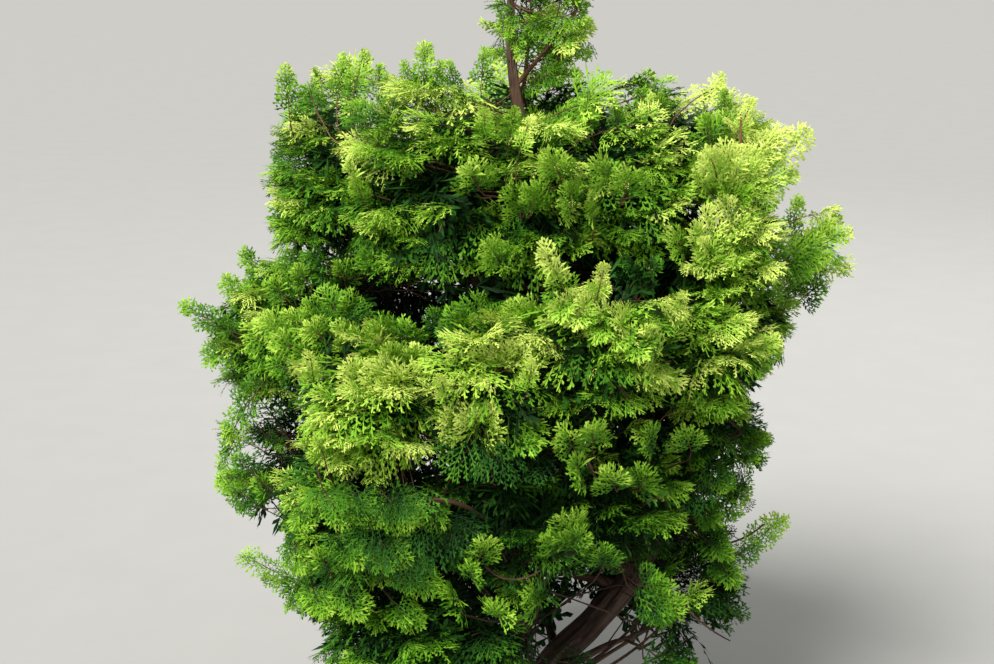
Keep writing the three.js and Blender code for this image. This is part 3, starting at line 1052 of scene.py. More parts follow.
@dataclass(frozen=True)
class FanPattern:
    """How a make of fan branches.

    Attributes:
        pairs: Branchlets on each side of the middle one.
        spread: Angle of the first branchlets, in degrees.
        last_spread: And of the last.
        width: The fan's outline sideways, as a share of its length.
        link: Length of the slivers that make a branchlet's middle, as a share of the fan's length.
        finger_from: Share of a branchlet at which its fingers start.
        finger_gap: Between fingers, as a share of the fan's length.
        finger: Length of a finger.
        half_width: Of a finger.
        lift: How far branchlets leave the fan's plane, in radians.
        curl: How much their ends turn down, in radians.
    """

    pairs: int
    spread: float
    last_spread: float
    width: float
    link: float
    finger_from: float
    finger_gap: float
    finger: float
    half_width: float
    lift: float
    curl: float

    def grow(self, seed: int) -> Slivers:
        """Grows one fan of this pattern.

        The middle branchlet runs the fan's length. The others leave it left and right in turn, bend forwards,
        and end on the fan's outline, an ellipse. Each is a chain of slivers with fingers on both sides.

        Args:
            seed: Its number, for chance.

        Returns:
            Its slivers.
        """
        rows = [self._branchlet(0.0, 0.0, 0.97, seed, 0)]
        for k in range(2 * self.pairs):
            share = k / (2 * self.pairs - 1)
            side = 1 if k % 2 else -1
            angle = math.radians(self.spread + (self.last_spread - self.spread) * share)
            angle *= 1 + float(jitter(seed, k, 5, 0.12))
            start = 0.03 + 0.66 * share
            length = self._to_rim(start, angle, seed, k)
            rows.append(self._branchlet(start, side * angle, length, seed, k + 1))
        return Slivers(*(np.concatenate([row[i] for row in rows]) for i in range(6)))

    def _to_rim(self, start: float, angle: float, seed: int, k: int) -> float:
        """Gives the length of a branchlet to the outline, where u squared plus (v / width) squared is 1.

        Args:
            start: Where it leaves the middle one.
            angle: At which angle, in radians.
            seed: The fan's number.
            k: The branchlet's number.

        Returns:
            Its length, a little longer or shorter by chance.
        """
        cos, sin = math.cos(angle * 0.8), math.sin(angle * 0.8) / self.width
        a, b = cos * cos + sin * sin, start * cos
        full = (-b + math.sqrt(b * b - a * (start * start - 1))) / a
        return full * (0.9 + float(jitter(seed, k, 9, 0.12)))

    def _branchlet(
        self, start: float, angle: float, length: float, seed: int, k: int
    ) -> tuple[Array, ...]:
        """Grows one branchlet.

        Its bearing falls from the given angle to 0.6 of it, and its climb from its own lift by the curl. Its
        line is the running sum of short steps that way.

        Args:
            start: Where it leaves the middle one.
            angle: At which angle, in radians.
            length: Its length.
            seed: The fan's number.
            k: The branchlet's number.

        Returns:
            Foot, direction, left side, length, half-width and level of its slivers.
        """
        fine = np.linspace(0, 1, 33)
        bearing = angle * (1 - 0.4 * fine)
        climb = float(jitter(seed, k, 13, self.lift)) - self.curl * fine**2
        steps = heading(bearing, climb)[:-1] * length / (len(fine) - 1)
        line = np.vstack([np.zeros(3), np.cumsum(steps, axis=0)]) + [start, 0, 0]
        links = max(1, round(length / self.link))
        count = max(2, int(length * (1 - self.finger_from) / self.finger_gap))
        number = np.arange(count)
        seat = self.finger_from + (1 - self.finger_from) * (number + 0.3) / count
        share = np.concatenate([np.arange(links) / links, seat])
        side = np.where(number % 2 == k % 2, 1.0, -1.0)
        foot = np.stack([np.interp(share, fine, line[:, i]) for i in range(3)], axis=1)
        head, rise = np.interp(share, fine, bearing), np.interp(share, fine, climb)
        head[links:] += side * (np.radians(48 - 18 * seat) + jitter(seed + k * 0.53, number, 4, 0.2))
        rise[links:] += jitter(seed + k * 0.61, number, 6, 0.2)
        ahead = heading(head, rise)
        left = np.stack([-np.sin(head), np.cos(head), np.zeros_like(head)], axis=1)
        left = turned(left, ahead, jitter(seed + k * 0.29, np.arange(len(head)), 8, 0.4))
        taper = np.sin(np.pi * np.clip(0.28 + 0.62 * (1 - seat), 0, 1)) ** 0.7
        finger = self.finger * taper * (1 + jitter(seed + k * 0.37, number, 3, 0.25))
        lengths = np.concatenate([np.full(links, length / links * 1.3), finger])
        half = np.concatenate([np.full(links, self.half_width * 0.8), np.full(count, self.half_width)])
        tip = foot + ahead * lengths[:, None]
        return foot, ahead, left, lengths, half, np.hypot(tip[:, 0], tip[:, 1])


class Make(Enum):
    """The makes of fan."""

    SPRIG = FanPattern(5, 62, 26, 0.64, 0.36, 0.05, 0.056, 0.115, 0.025, 0.24, 0.5)  # small and close
    SMALL = FanPattern(4, 62, 26, 0.66, 0.36, 0.05, 0.100, 0.16, 0.044, 0.28, 0.5)  # smaller, of fewer blades
    TINY = FanPattern(3, 60, 26, 0.68, 0.50, 0.05, 0.150, 0.27, 0.072, 0.28, 0.5)  # at the ends of plumes
    LONG = FanPattern(5, 54, 22, 0.70, 0.16, 0.22, 0.046, 0.088, 0.017, 0.14, 0.3)  # open, where it is shaded
    CORE = FanPattern(4, 62, 28, 0.80, 0.30, 0.16, 0.110, 0.17, 0.030, 0.35, 0.4)  # broad, inside the crown, in dark tints as painted shade
    INNER = FanPattern(3, 66, 30, 0.95, 0.36, 0.10, 0.135, 0.25, 0.058, 0.4, 0.4)  # broad, for old fans dark with painted shade


VARIANTS = 6  # of each make


@dataclass
class Fans:
    """Places of many fans.

    Attributes:
        root: Where each starts.
        along: Its direction.
        face: The direction that its upper side faces.
        length: Its length.
        droop: How much it bends down from root to rim, in radians.
        cup: How much its sides fall, as a share of its length.
        sun: How light its tint is, from 0 to 1, as new growth's yellow and as painted light and shade.
        mass: The number of its mass.
    """

    root: Array
    along: Array
    face: Array
    length: Array
    droop: Array
    cup: Array
    sun: Array
    mass: Array

    def kept(self, which: Array) -> "Fans":
        """The fans that a mask or a list of numbers picks."""
        return Fans(*(getattr(self, part.name)[which] for part in fields(Fans)))

    def bent(self, local: Array) -> Array:
        """Bends local points into place on every fan.

        Along a fan, the surface is an arc: at a share u the way along it is sin(droop u) / droop and the way
        down (1 - cos(droop u)) / droop, times the fan's length. Its sides fall by cup v squared.

        Args:
            local: Points as u, v and w, P by 3 for all fans alike, or fans by P by 3.

        Returns:
            The points of each fan, fans by P by 3.
        """
        u, v, w = (local[..., i] for i in range(3))
        droop, length, cup = self.droop[:, None], self.length[:, None], self.cup[:, None]
        ahead = np.sin(droop * u) / droop + w * np.sin(droop * u)
        up = -(1 - np.cos(droop * u)) / droop + w * np.cos(droop * u) - cup * v * v
        lift = 0.5 * self.droop[:, None]
        along = self.along * np.cos(lift) + self.face * np.sin(lift)
        face = self.face * np.cos(lift) - self.along * np.sin(lift)
        across = np.cross(self.face, self.along)
        moved = (
            ahead[..., None] * along[:, None, :]
            + v[..., None] * across[:, None, :]
            + up[..., None] * face[:, None, :]
        )
        return self.root[:, None, :] + moved * length[..., None]


def joined_fans(sets: list[Fans]) -> Fans:
    """Puts sets of fans together."""
    return Fans(*(np.concatenate([getattr(some, part.name) for some in sets]) for part in fields(Fans)))


def fans_of(
    mass: int, root: Array, along: Array, roll: Array, length: Array, *traits: object
) -> Fans:
    """Makes fans of one mass whose upper sides are turned up and then rolled about their directions.

    Args:
        mass: The mass's number.
        root: Where each starts.
        along: Its direction.
        roll: How far it is rolled, in radians.
        length: Its length.
        traits: Droop, cup and sun, one for all fans or one for each.

    Returns:
        The fans.
    """
    face = turned(unit(UP - along * along[:, 2:]), along, roll)
    return Fans(root, along, face, length, *(np.broadcast_to(trait, len(root)) for trait in (*traits, mass)))


def swell(points: Array) -> Array:
    """Gives the slow swelling of the crown's surface: a sum of three sines along directions by chance.

    Args:
        points: Where it is asked for, in mm, N by 3.

    Returns:
        N numbers from about -1 to 1.
    """
    total = np.zeros(len(points))
    for k, (length, weight) in enumerate(((62, 0.4), (83, 0.35), (47, 0.25))):
        way = unit(np.array([jitter(k, part, 40 + part, 1) for part in (1, 2, 3)]))
        total += weight * np.sin(2 * math.pi * (points @ way) / length + 7 * k)
    return total


@dataclass(frozen=True)
class Branching:
    """How small fans leave the middle of a spray, left and right in turn, and one ends it.

    Attributes:
        count: How many there are.
        wide: Angle of the first, in degrees.
        narrow: And of the last pair.
        first: Share of the spray's length at which the first leaves.
        last: And the last pair.
        size: Length of the first as a share of the spray's.
        last_size: And of the last pair.
    """

    count: int
    wide: float
    narrow: float
    first: float
    last: float
    size: float
    last_size: float


class Growth(Enum):
    """The kinds of spray."""

    SPRAY = Branching(7, 70, 32, 0.08, 0.52, 0.55, 0.43)
    PLUME = Branching(10, 50, 20, 0.04, 0.76, 0.34, 0.24)
    FAN = Branching(1, 0, 0, 0.0, 0.0, 1.0, 1.0)  # one fan alone


@dataclass(frozen=True)
class NamedFans:
    """Sprays of one kind with places of their own.

    Attributes:
        growth: Their kind.
        droop: How much they bend, in radians.
        cup: How much their sides fall.
        rolls: How far their upper sides are turned from facing the front, in radians, over and over again.
        rows: For each, its root and its way from there to its tip in mm, and how light its tint is in
            hundredths, painted light and shade included.
    """

    growth: Growth
    droop: float
    cup: float
    rolls: tuple[float, ...]
    rows: tuple[tuple[float, ...], ...]


NAMED_FANS = (
    NamedFans(Growth.SPRAY, 0.9, 0.5, (-0.5, 0.4), (  # along the ridge of the arch in front
        (18, -178, 414, -9, -30, 28, 84), (29, -178, 410, -9, -30, 29, 81), (41, -178, 406, -10, -30, 28, 78),
        (54, -178, 398, -11, -30, 29, 75), (64, -178, 389, -10, -30, 29, 72),
        (75, -178, 379, -11, -30, 29, 69),
    )),
    NamedFans(Growth.SPRAY, 0.7, 0.5, (0.1,), (  # bent down over that ridge
        (14, -194, 433, -3, -22, -14, 56), (26, -194, 427, -4, -22, -13, 62),
        (38, -194, 418, -3, -22, -14, 54), (51, -194, 412, -4, -22, -13, 58),
        (63, -194, 406, -4, -22, -14, 50),
    )),
    NamedFans(Growth.SPRAY, 0.5, 0.5, (0.2, -0.5), (  # among the pale shoots at the right
        (132, -74, 472, -11, -30, 23, 56), (141, -70, 467, 10, -18, 19, 50),
    )),
    NamedFans(Growth.SPRAY, 0.5, 0.3, (0.2, -0.3, 0.3), (  # in the recess under the crown
        (-43, -146, 386, -1, -10, 44, 34), (-49, -150, 387, -13, -8, 33, 32),
        (-36, -146, 386, 13, -10, 35, 36),
    )),
    NamedFans(Growth.SPRAY, 0.5, 0.4, (0.2,), (  # in the same recess
        (-13, -156, 389, 0, -10, 40, 58), (-105, -150, 383, -9, -20, 30, 42),
        (-95, -150, 383, 8, -20, 29, 44),
    )),
    NamedFans(Growth.SPRAY, 1, 1.2, (1,), (  # curled in front of the trunk
        (73, -140, 202, 38, -18, -3, 44),
    )),
    NamedFans(Growth.SPRAY, 1, 0.9, (0.7,), (
        (70, -138, 207, 30, -16, 4, 38),
    )),
    NamedFans(Growth.SPRAY, 0.6, 0.9, (0.6,), (
        (75, -146, 197, 23, -10, -10, 32),
    )),
    # over the gap in front of the trunk
    NamedFans(Growth.SPRAY, 0.7, 0.6, (0.8, 0.6, -0.2, 0.2, 0.9, -0.7, 0.8, -0.6, 0.3), (
        (14, -170, 249, 4, -22, 39, 50), (18, -170, 246, 11, -20, 28, 46), (11, -172, 242, -8, -18, 26, 40),
        (43, -156, 224, 3, -16, 30, 36), (-44, -190, 245, 7, -14, 27, 50), (-47, -194, 234, 2, -12, 19, 42),
        (-57, -184, 210, -13, -22, 24, 48), (-27, -180, 198, -1, -26, 26, 48),
        (-1, -170, 204, -13, -20, 25, 46),
    )),
    NamedFans(Growth.SPRAY, 0.6, 0.5, (0.2,), (  # at the right, below the middle
        (122, -80, 250, 10, -20, -16, 34), (132, -70, 250, 20, -14, -16, 34),
        (126, -80, 219, 21, -10, -12, 36), (120, -90, 277, 26, -6, -12, 36),
        (137, -70, 198, 19, -10, -20, 36),
    )),
    NamedFans(Growth.SPRAY, 0.5, 0.5, (0.3,), (
        (117, -60, 227, 23, -10, 12, 30), (121, -60, 211, 27, -10, 9, 36), (126, -60, 193, 26, -6, 7, 30),
        (125, -60, 510, -9, 0, 30, 50), (134, -50, 509, 2, 0, 33, 56), (-170, -20, 412, -29, 10, 13, 40),
        (-217, -60, 267, -15, 10, 11, 36),
    )),
    NamedFans(Growth.SPRAY, 0.6, 0.5, (0.1, 0.4, -0.4), (  # upright tips, most of them in front
        (-98, -160, 370, -4, -16, 30, 66), (-89, -160, 370, 7, -12, 27, 60),
        (-118, -170, 362, -9, -20, 28, 80), (-3, -150, 397, -8, -16, 29, 60), (4, -150, 397, -1, -20, 27, 60),
        (-42, -130, 492, -10, -20, 26, 58), (21, -130, 480, -7, -20, 22, 54),
        (103, -100, 439, -15, -16, 26, 56), (-187, -30, 391, -17, 0, 20, 46),
        (-171, -30, 402, -12, 0, 20, 44), (-143, -40, 404, -7, 0, 23, 46), (22, -190, 326, -10, -16, 23, 56),
        (34, -190, 328, -1, -14, 24, 50), (76, -170, 318, -10, -14, 24, 50),
        (107, -140, 308, -9, -14, 25, 50), (-146, -180, 234, -9, -10, 23, 46),
        (-201, -60, 242, -13, 0, 22, 42), (145, -66, 485, -15, -6, 37, 88), (149, -64, 485, -1, -2, 36, 90),
    )),
    NamedFans(Growth.SPRAY, 0.6, 0.5, (0.5, -0.5, 0.2), (  # bent down, most of them low in front
        (-150, -178, 296, 21, -14, -27, 44), (-129, -184, 295, 23, -16, -27, 50),
        (-107, -184, 292, 25, -16, -24, 46), (-169, -150, 276, 6, -16, -24, 50),
        (-139, -186, 265, 16, -10, -25, 42), (-113, -186, 262, 24, -12, -22, 46),
        (-172, -150, 246, 3, -12, -26, 50), (-83, -176, 285, 18, -14, -20, 40),
        (-97, -180, 238, 28, -10, -18, 40), (-136, -176, 220, 15, -8, -26, 50),
        (-103, -176, 211, 22, -8, -23, 46), (-162, -150, 212, 11, -10, -24, 46),
        (67, -150, 437, -16, -16, 13, 10), (73, -150, 434, 6, -16, 16, 10), (62, -150, 431, 1, -20, 19, 5),
    )),
    NamedFans(Growth.SPRAY, 0.5, 0.5, (0.2,), (
        (-229, -20, 351, -30, -4, -9, 50),
    )),
    NamedFans(Growth.SPRAY, 0.5, 0.4, (0.9, 0.5, 0.7), (  # dark, at the back left
        (-24, 26, 158, -20, 8, -50, 20), (-26, 66, 150, -14, 18, -52, 24), (-56, 30, 160, -22, 4, -48, 26),
        (-60, 70, 150, -24, 14, -46, 20), (-90, 40, 152, -26, 10, -46, 24), (-92, 84, 148, -26, 20, -48, 26),
        (-28, 100, 140, -6, 28, -48, 20), (-60, 104, 140, -16, 28, -48, 24), (-38, 40, 104, -24, 14, -40, 16),
        (-44, 80, 104, -20, 22, -42, 20), (-76, 50, 108, -30, 12, -40, 18), (-78, 92, 104, -28, 24, -38, 20),
        (-22, 50, 206, -24, 12, -48, 20), (-60, 60, 206, -30, 12, -42, 24), (-96, 40, 200, -34, 12, -40, 24),
        (-44, -6, 366, -48, 14, -14, 12), (-70, 30, 346, -48, 16, -20, 16), (-30, 30, 370, -40, 32, -26, 12),
        (-70, -10, 120, -30, 8, -40, 20), (-80, -30, 110, -32, 4, -40, 24), (-60, -40, 110, -32, -4, -44, 20),
        (-90, 10, 110, -32, 10, -40, 24), (-50, 0, 100, -24, 10, -44, 16), (-66, 20, 84, -32, 14, -40, 20),
        (-96, -10, 84, -32, 8, -38, 24), (-76, -50, 90, -28, -10, -42, 20), (-40, -30, 90, -26, -4, -44, 16),
        (-30, 20, 84, -20, 16, -42, 16), (-100, -60, 110, -30, -12, -40, 24),
        (-120, -30, 110, -30, -4, -34, 24), (-60, -70, 120, -24, -22, -40, 20),
        (-30, -60, 110, -22, -24, -40, 16), (-60, 0, 330, -52, 20, -18, 16), (-44, 14, 530, -48, 20, -16, 20),
        (-30, 30, 524, -40, 34, -16, 20),
    )),
    NamedFans(Growth.SPRAY, 0.6, 0.5, (0.5, -0.3, 0.2), (  # the level arm at the left
        (-154, -60, 376, -22, 10, 25, 42), (-146, -60, 376, -9, 10, 36, 40), (-137, -60, 376, 0, 4, 31, 38),
        (-160, -70, 374, -32, 0, 18, 56), (-175, -70, 371, -34, 4, 16, 60),
        (-151, -90, 372, -20, -10, 22, 62), (-136, -100, 372, -10, -10, 24, 60),
        (-174, -80, 365, -22, -4, 13, 60), (-191, -60, 361, -32, 4, 16, 54),
        (-136, -100, 370, 6, -12, 24, 56), (-160, -90, 361, -18, -14, 12, 46),
        (-173, -90, 349, -28, 6, 11, 44), (-142, -110, 358, -18, -14, 8, 42),
        (-152, -110, 346, -20, -10, 10, 36),
    )),
    NamedFans(Growth.SPRAY, 0.7, 0.5, (0.1, 0.5, -0.4), (  # pale tips, most of them in front
        (-101, -170, 360, -13, -26, 32, 82), (-95, -170, 360, 3, -28, 33, 84),
        (-48, -180, 374, -13, -16, 25, 78), (-37, -180, 376, -4, -18, 28, 82),
        (-28, -180, 376, 8, -18, 29, 84), (-20, -180, 376, 16, -16, 23, 76),
        (-55, -200, 341, -13, -22, 28, 80), (-45, -200, 341, -4, -24, 32, 86),
        (-37, -200, 341, 9, -22, 28, 80), (47, -140, 494, -16, -20, 28, 60), (56, -140, 490, 1, -20, 27, 58),
        (13, -140, 502, -11, -16, 23, 60), (-14, -136, 477, -10, -20, 26, 56),
        (-7, -136, 477, 0, -20, 29, 54), (-28, -140, 443, -11, -20, 22, 56),
        (125, -90, 496, -12, -10, 25, 80), (27, -180, 301, -11, -20, 24, 46),
        (52, -170, 290, -9, -20, 26, 54), (69, -160, 287, 5, -20, 25, 44), (-145, -196, 319, -7, -8, 22, 62),
    )),
    NamedFans(Growth.SPRAY, 0.5, 0.5, (0.4,), (  # small tips round the crown
        (-119, -70, 523, -19, 20, 24, 40), (-115, -70, 523, 3, 20, 28, 44), (-106, -70, 523, 12, 20, 24, 46),
        (-154, -30, 417, -24, 0, 15, 30), (-151, -30, 411, -24, 0, 5, 30), (-67, -120, 387, -10, 4, 21, 22),
        (-162, -30, 534, -11, 10, 20, 40), (85, 10, 530, -11, 0, 21, 40), (203, -10, 388, 16, -10, 18, 30),
    )),
    NamedFans(Growth.SPRAY, 0.7, 0.4, (0.3,), (  # a ring round the leader's foot
        (9, 9, 500, 32, 12, 30, 44), (4, 15, 500, 15, 31, 35, 44), (-3, 15, 500, -12, 32, 30, 44),
        (-9, 10, 500, -31, 15, 35, 44), (-9, 3, 500, -32, -12, 30, 44), (-4, -3, 500, -15, -31, 35, 44),
        (3, -3, 500, 12, -32, 30, 44), (9, 2, 500, 31, -15, 35, 44),
    )),
    NamedFans(Growth.PLUME, 0.3, 0.4, (0.3,), (  # on the arch
        (15, -186, 431, -17, -14, 38, 80),
    )),
    NamedFans(Growth.PLUME, -0.5, 0.4, (0.2,), (
        (35, -196, 430, 5, -8, 27, 84),
    )),
    # pale shoots at the upper right
    NamedFans(Growth.PLUME, 0.35, 0.2, (0.2, -0.4, 0.5, 0.3, -0.5, 0.5, 0.6), (
        (145, -64, 474, 49, 16, 51, 78), (140, -64, 477, 38, 8, 53, 82), (136, -70, 478, 26, 6, 36, 74),
        (151, -60, 468, 37, 12, 27, 54), (133, -76, 476, -14, -8, 39, 78), (128, -80, 474, -21, -16, 26, 60),
        (136, -72, 473, 5, -12, 35, 70),
    )),
    # pale shoots at the right, in front
    NamedFans(Growth.PLUME, 0.5, 0.5, (0.5, -0.5, 0.4, -0.4, 0.5, 0.6, -0.4, 0.5, 0.2), (
        (127, -92, 418, -22, -18, 47, 60), (131, -92, 418, -14, -6, 61, 76), (136, -88, 417, -5, -2, 69, 84),
        (139, -86, 415, 7, 2, 58, 72), (143, -84, 412, 17, 2, 44, 56), (131, -92, 434, -31, -22, -1, 70),
        (137, -90, 415, -22, -22, -2, 40), (144, -84, 411, 20, -6, 26, 36), (123, -98, 436, -13, -22, 21, 68),
    )),
    NamedFans(Growth.PLUME, 0.4, 0.4, (0, 0.4), (  # the palest shoots over them
        (144, -66, 525, 9, 0, 25, 100), (144, -66, 524, -13, 0, 10, 94),
    )),
    NamedFans(Growth.PLUME, 0.3, 0.4, (0,), (
        (-15, -150, 521, 8, 4, 24, 76),
    )),
    # long tips over the left
    NamedFans(Growth.PLUME, 0.35, 0.3, (0.2, 0.5, 0.3, 0.3, 0.3, 0.1, 0.4, -0.4, 0.2, 0.3), (
        (-184, -20, 530, -3, 4, 39, 48), (-177, -20, 537, 14, 10, 20, 46), (-147, -40, 541, 5, 10, 35, 50),
        (-136, -40, 545, 10, 12, 36, 54), (-116, -50, 547, 1, 10, 24, 50), (-83, -50, 551, 1, 0, 36, 54),
        (-77, -50, 551, 8, 0, 24, 52), (-91, -50, 551, -7, 0, 23, 50), (-42, -30, 552, 3, 4, 30, 44),
        (-61, -30, 552, -5, 4, 21, 46),
    )),
    NamedFans(Growth.PLUME, 0.35, 0.3, (0.2, 0.5, 0.2), (  # long tips of the level arm
        (-232, -34, 367, -40, 8, 23, 42), (-226, -34, 367, -32, 8, 7, 46), (-201, 10, 386, -29, 6, 36, 36),
        (-208, -10, 372, -36, 10, 32, 44),
    )),
    NamedFans(Growth.PLUME, 0.35, 0.3, (0.4, 0.2, 0.2, 0.2, 0.2, 0.2, 0.2, 0.2), (  # long tips down the left
        (-176, -70, 174, -51, 10, 25, 46), (-176, -70, 172, -35, 8, 9, 42), (-173, -70, 174, -21, 6, -19, 38),
        (-210, -50, 233, -37, 10, 21, 38), (-210, -50, 233, -22, 10, -2, 36),
        (-207, -50, 332, -30, 4, -49, 42), (-226, -46, 294, -17, 2, -35, 40),
        (-208, -50, 294, 17, 4, -17, 30),
    )),
    NamedFans(Growth.PLUME, 0.35, 0.3, (0.2, 0.2, 0.5, 0.4, 0.4), (  # long tips down the right
        (143, -70, 280, 31, 0, 20, 50), (155, -60, 267, 6, 0, -24, 40), (155, -46, 192, 40, 10, 31, 54),
        (151, -90, 352, 26, 4, 19, 44), (140, -110, 370, 34, 6, 11, 66),
    )),
    NamedFans(Growth.PLUME, 0.35, 0.3, (0.2,), (  # long tips over the right
        (57, -60, 525, -5, 0, 23, 46), (37, -60, 525, -5, 0, 23, 46), (137, -40, 529, -3, 0, 24, 36),
        (98, 20, 522, -4, 0, 22, 40),
    )),
    NamedFans(Growth.PLUME, 0.5, 0.6, (0.3, 0.1, 0.4, 0.4), (  # the arm at the right
        (185, -34, 419, 53, 8, 29, 56), (190, -30, 426, 33, 4, 28, 54), (183, -32, 416, 23, 2, 29, 50),
        (187, -32, 414, 36, 2, 14, 48),
    )),
    NamedFans(Growth.PLUME, 0.4, 0.4, (0.3,), (  # the leader
        (-13, 2, 565, 19, -2, 38, 50), (-11, 2, 549, 30, -6, 8, 50), (-15, 2, 581, -17, -2, 11, 46),
        (-15, 2, 566, -21, -2, 11, 44), (-11, -2, 586, 29, 0, 23, 54), (-1, 0, 562, 40, 0, 16, 50),
        (-1, 0, 567, 42, 0, 32, 54), (6, -4, 558, 29, 0, 2, 46), (-16, -8, 595, 3, -10, -25, 46),
        (-17, -8, 608, -5, -8, -23, 44), (17, 0, 570, 11, -6, 22, 50),
    )),
    NamedFans(Growth.FAN, 0.4, 0.2, (-0.2, 0.1, 0.3), (  # hanging in front
        (-98, -192, 306, -12, -22, -21, 35), (-93, -192, 305, 1, -22, -25, 31),
        (-87, -190, 303, 12, -22, -18, 37), (-76, -180, 281, -17, -24, -23, 29),
        (-70, -180, 279, -5, -24, -31, 33), (-65, -178, 277, 7, -24, -26, 27),
        (-61, -178, 277, 18, -20, -17, 31), (-109, -196, 278, -15, -18, -22, 35),
        (-104, -194, 270, -2, -18, -28, 29), (-97, -192, 262, 12, -16, -27, 33),
        (-48, -204, 344, -9, -22, -23, 39), (-41, -204, 343, 3, -22, -28, 33),
        (-31, -202, 342, 11, -22, -25, 35), (-1, -190, 326, -7, -22, -24, 27),
        (-8, -150, 240, -14, -28, -25, 31), (6, -150, 246, -6, -28, -26, 35),
        (15, -150, 249, 7, -26, -23, 27), (-127, -200, 308, -11, -16, -23, 39),
        (110, -110, 284, -6, -20, -28, 31), (83, -150, 334, -9, -20, -24, 29),
        (-69, -140, 466, -8, -16, -19, 25),
    )),
    NamedFans(Growth.FAN, 0.5, 0.3, (0.2,), (  # dark, low at the right
        (117, -60, 243, 14, -20, -8, 16), (122, -60, 227, 16, -20, -12, 16),
        (116, -60, 212, 12, -16, -11, 16), (133, -60, 259, 16, -16, -10, 16),
        (140, -40, 220, 20, -10, -10, 16), (155, -40, 236, 14, -10, -13, 16), (161, -30, 199, 18, -6, -7, 16),
    )),
)


SUN_SPOTS = (  # place, radius and change of spots of painted light, and of painted shade where the change is below zero
    (-176, -54, 389, 30, 0.2), (-194, -64, 366, 17, 0.16), (-97, -205, 389, 17, 0.24),
    (-22, -225, 404, 20, 0.24), (-47, -243, 371, 20, 0.26), (-20, -148, 499, 17, 0.2),
    (41, -122, 512, 24, 0.2), (116, -89, 518, 17, 0.16), (-160, -45, 523, 24, 0.12),
    (70, -90, 551, 17, 0.14), (-35, -148, 459, 16, 0.2), (-2, -204, 427, 19, 0.14),
    (41, -169, 308, 35, 0.14), (-143, -216, 341, 13, 0.15), (-195, -136, 287, 16, 0.16),
    (-113, -126, 526, 22, -0.2), (-130, -123, 491, 14, -0.18), (-115, -136, 467, 19, -0.1),
    (-42, -120, 549, 22, -0.14), (68, -116, 521, 17, -0.12), (128, -129, 429, 29, -0.22),
    (140, -148, 402, 17, -0.2), (42, -227, 390, 33, -0.16), (76, -216, 376, 16, -0.12),
    (-80, -228, 355, 16, -0.2), (-47, -240, 342, 22, -0.24), (-5, -231, 346, 16, -0.2),
    (-144, -196, 279, 19, -0.18), (-42, -197, 191, 33, -0.22), (-104, -193, 180, 32, -0.14),
    (-158, -151, 196, 16, -0.12), (90, -160, 283, 22, -0.1), (-171, -193, 355, 19, -0.2),
    (36, -227, 386, 22, -0.12), (152, -127, 414, 17, -0.18), (-42, -118, 551, 17, -0.12),
    (-131, -119, 501, 17, -0.08), (-65, -152, 472, 17, -0.12), (-75, -144, 518, 14, -0.12),
    (74, -114, 523, 26, -0.2), (37, -193, 451, 20, -0.1), (-129, -201, 283, 43, 0.14),
    (123, -165, 377, 24, 0.12), (22, -41, 547, 22, 0.12), (-51, -214, 415, 65, 0.13),
    (12, -119, 541, 50, 0.09), (-162, -47, 519, 29, 0.18), (-208, -56, 268, 22, 0.22),
    (90, -198, 419, 26, 0.16), (-28, -231, 325, 36, -0.14), (-11, -201, 273, 40, -0.14),
    (34, -45, 562, 36, 0.1), (149, -152, 379, 43, 0.14), (128, -75, 509, 32, 0.1),
)


def sunned(points: Array) -> Array:
    """Gives how much painted light or shade changes a tint, by the sum over the spots of change / (1 +
    (distance / radius)^4).

    Args:
        points: Where it grows, N by 3.

    Returns:
        N changes.
    """
    spots = np.array(SUN_SPOTS)
    gap = np.linalg.norm(points[:, None] - spots[None, :, :3], axis=2) / spots[:, 3]
    return np.sum(spots[:, 4] / (1 + gap**4), axis=1)


OLD = (0.8, 0.3, 0.04)  # droop, cup and sun of old fans, whose darkest tint is painted shade
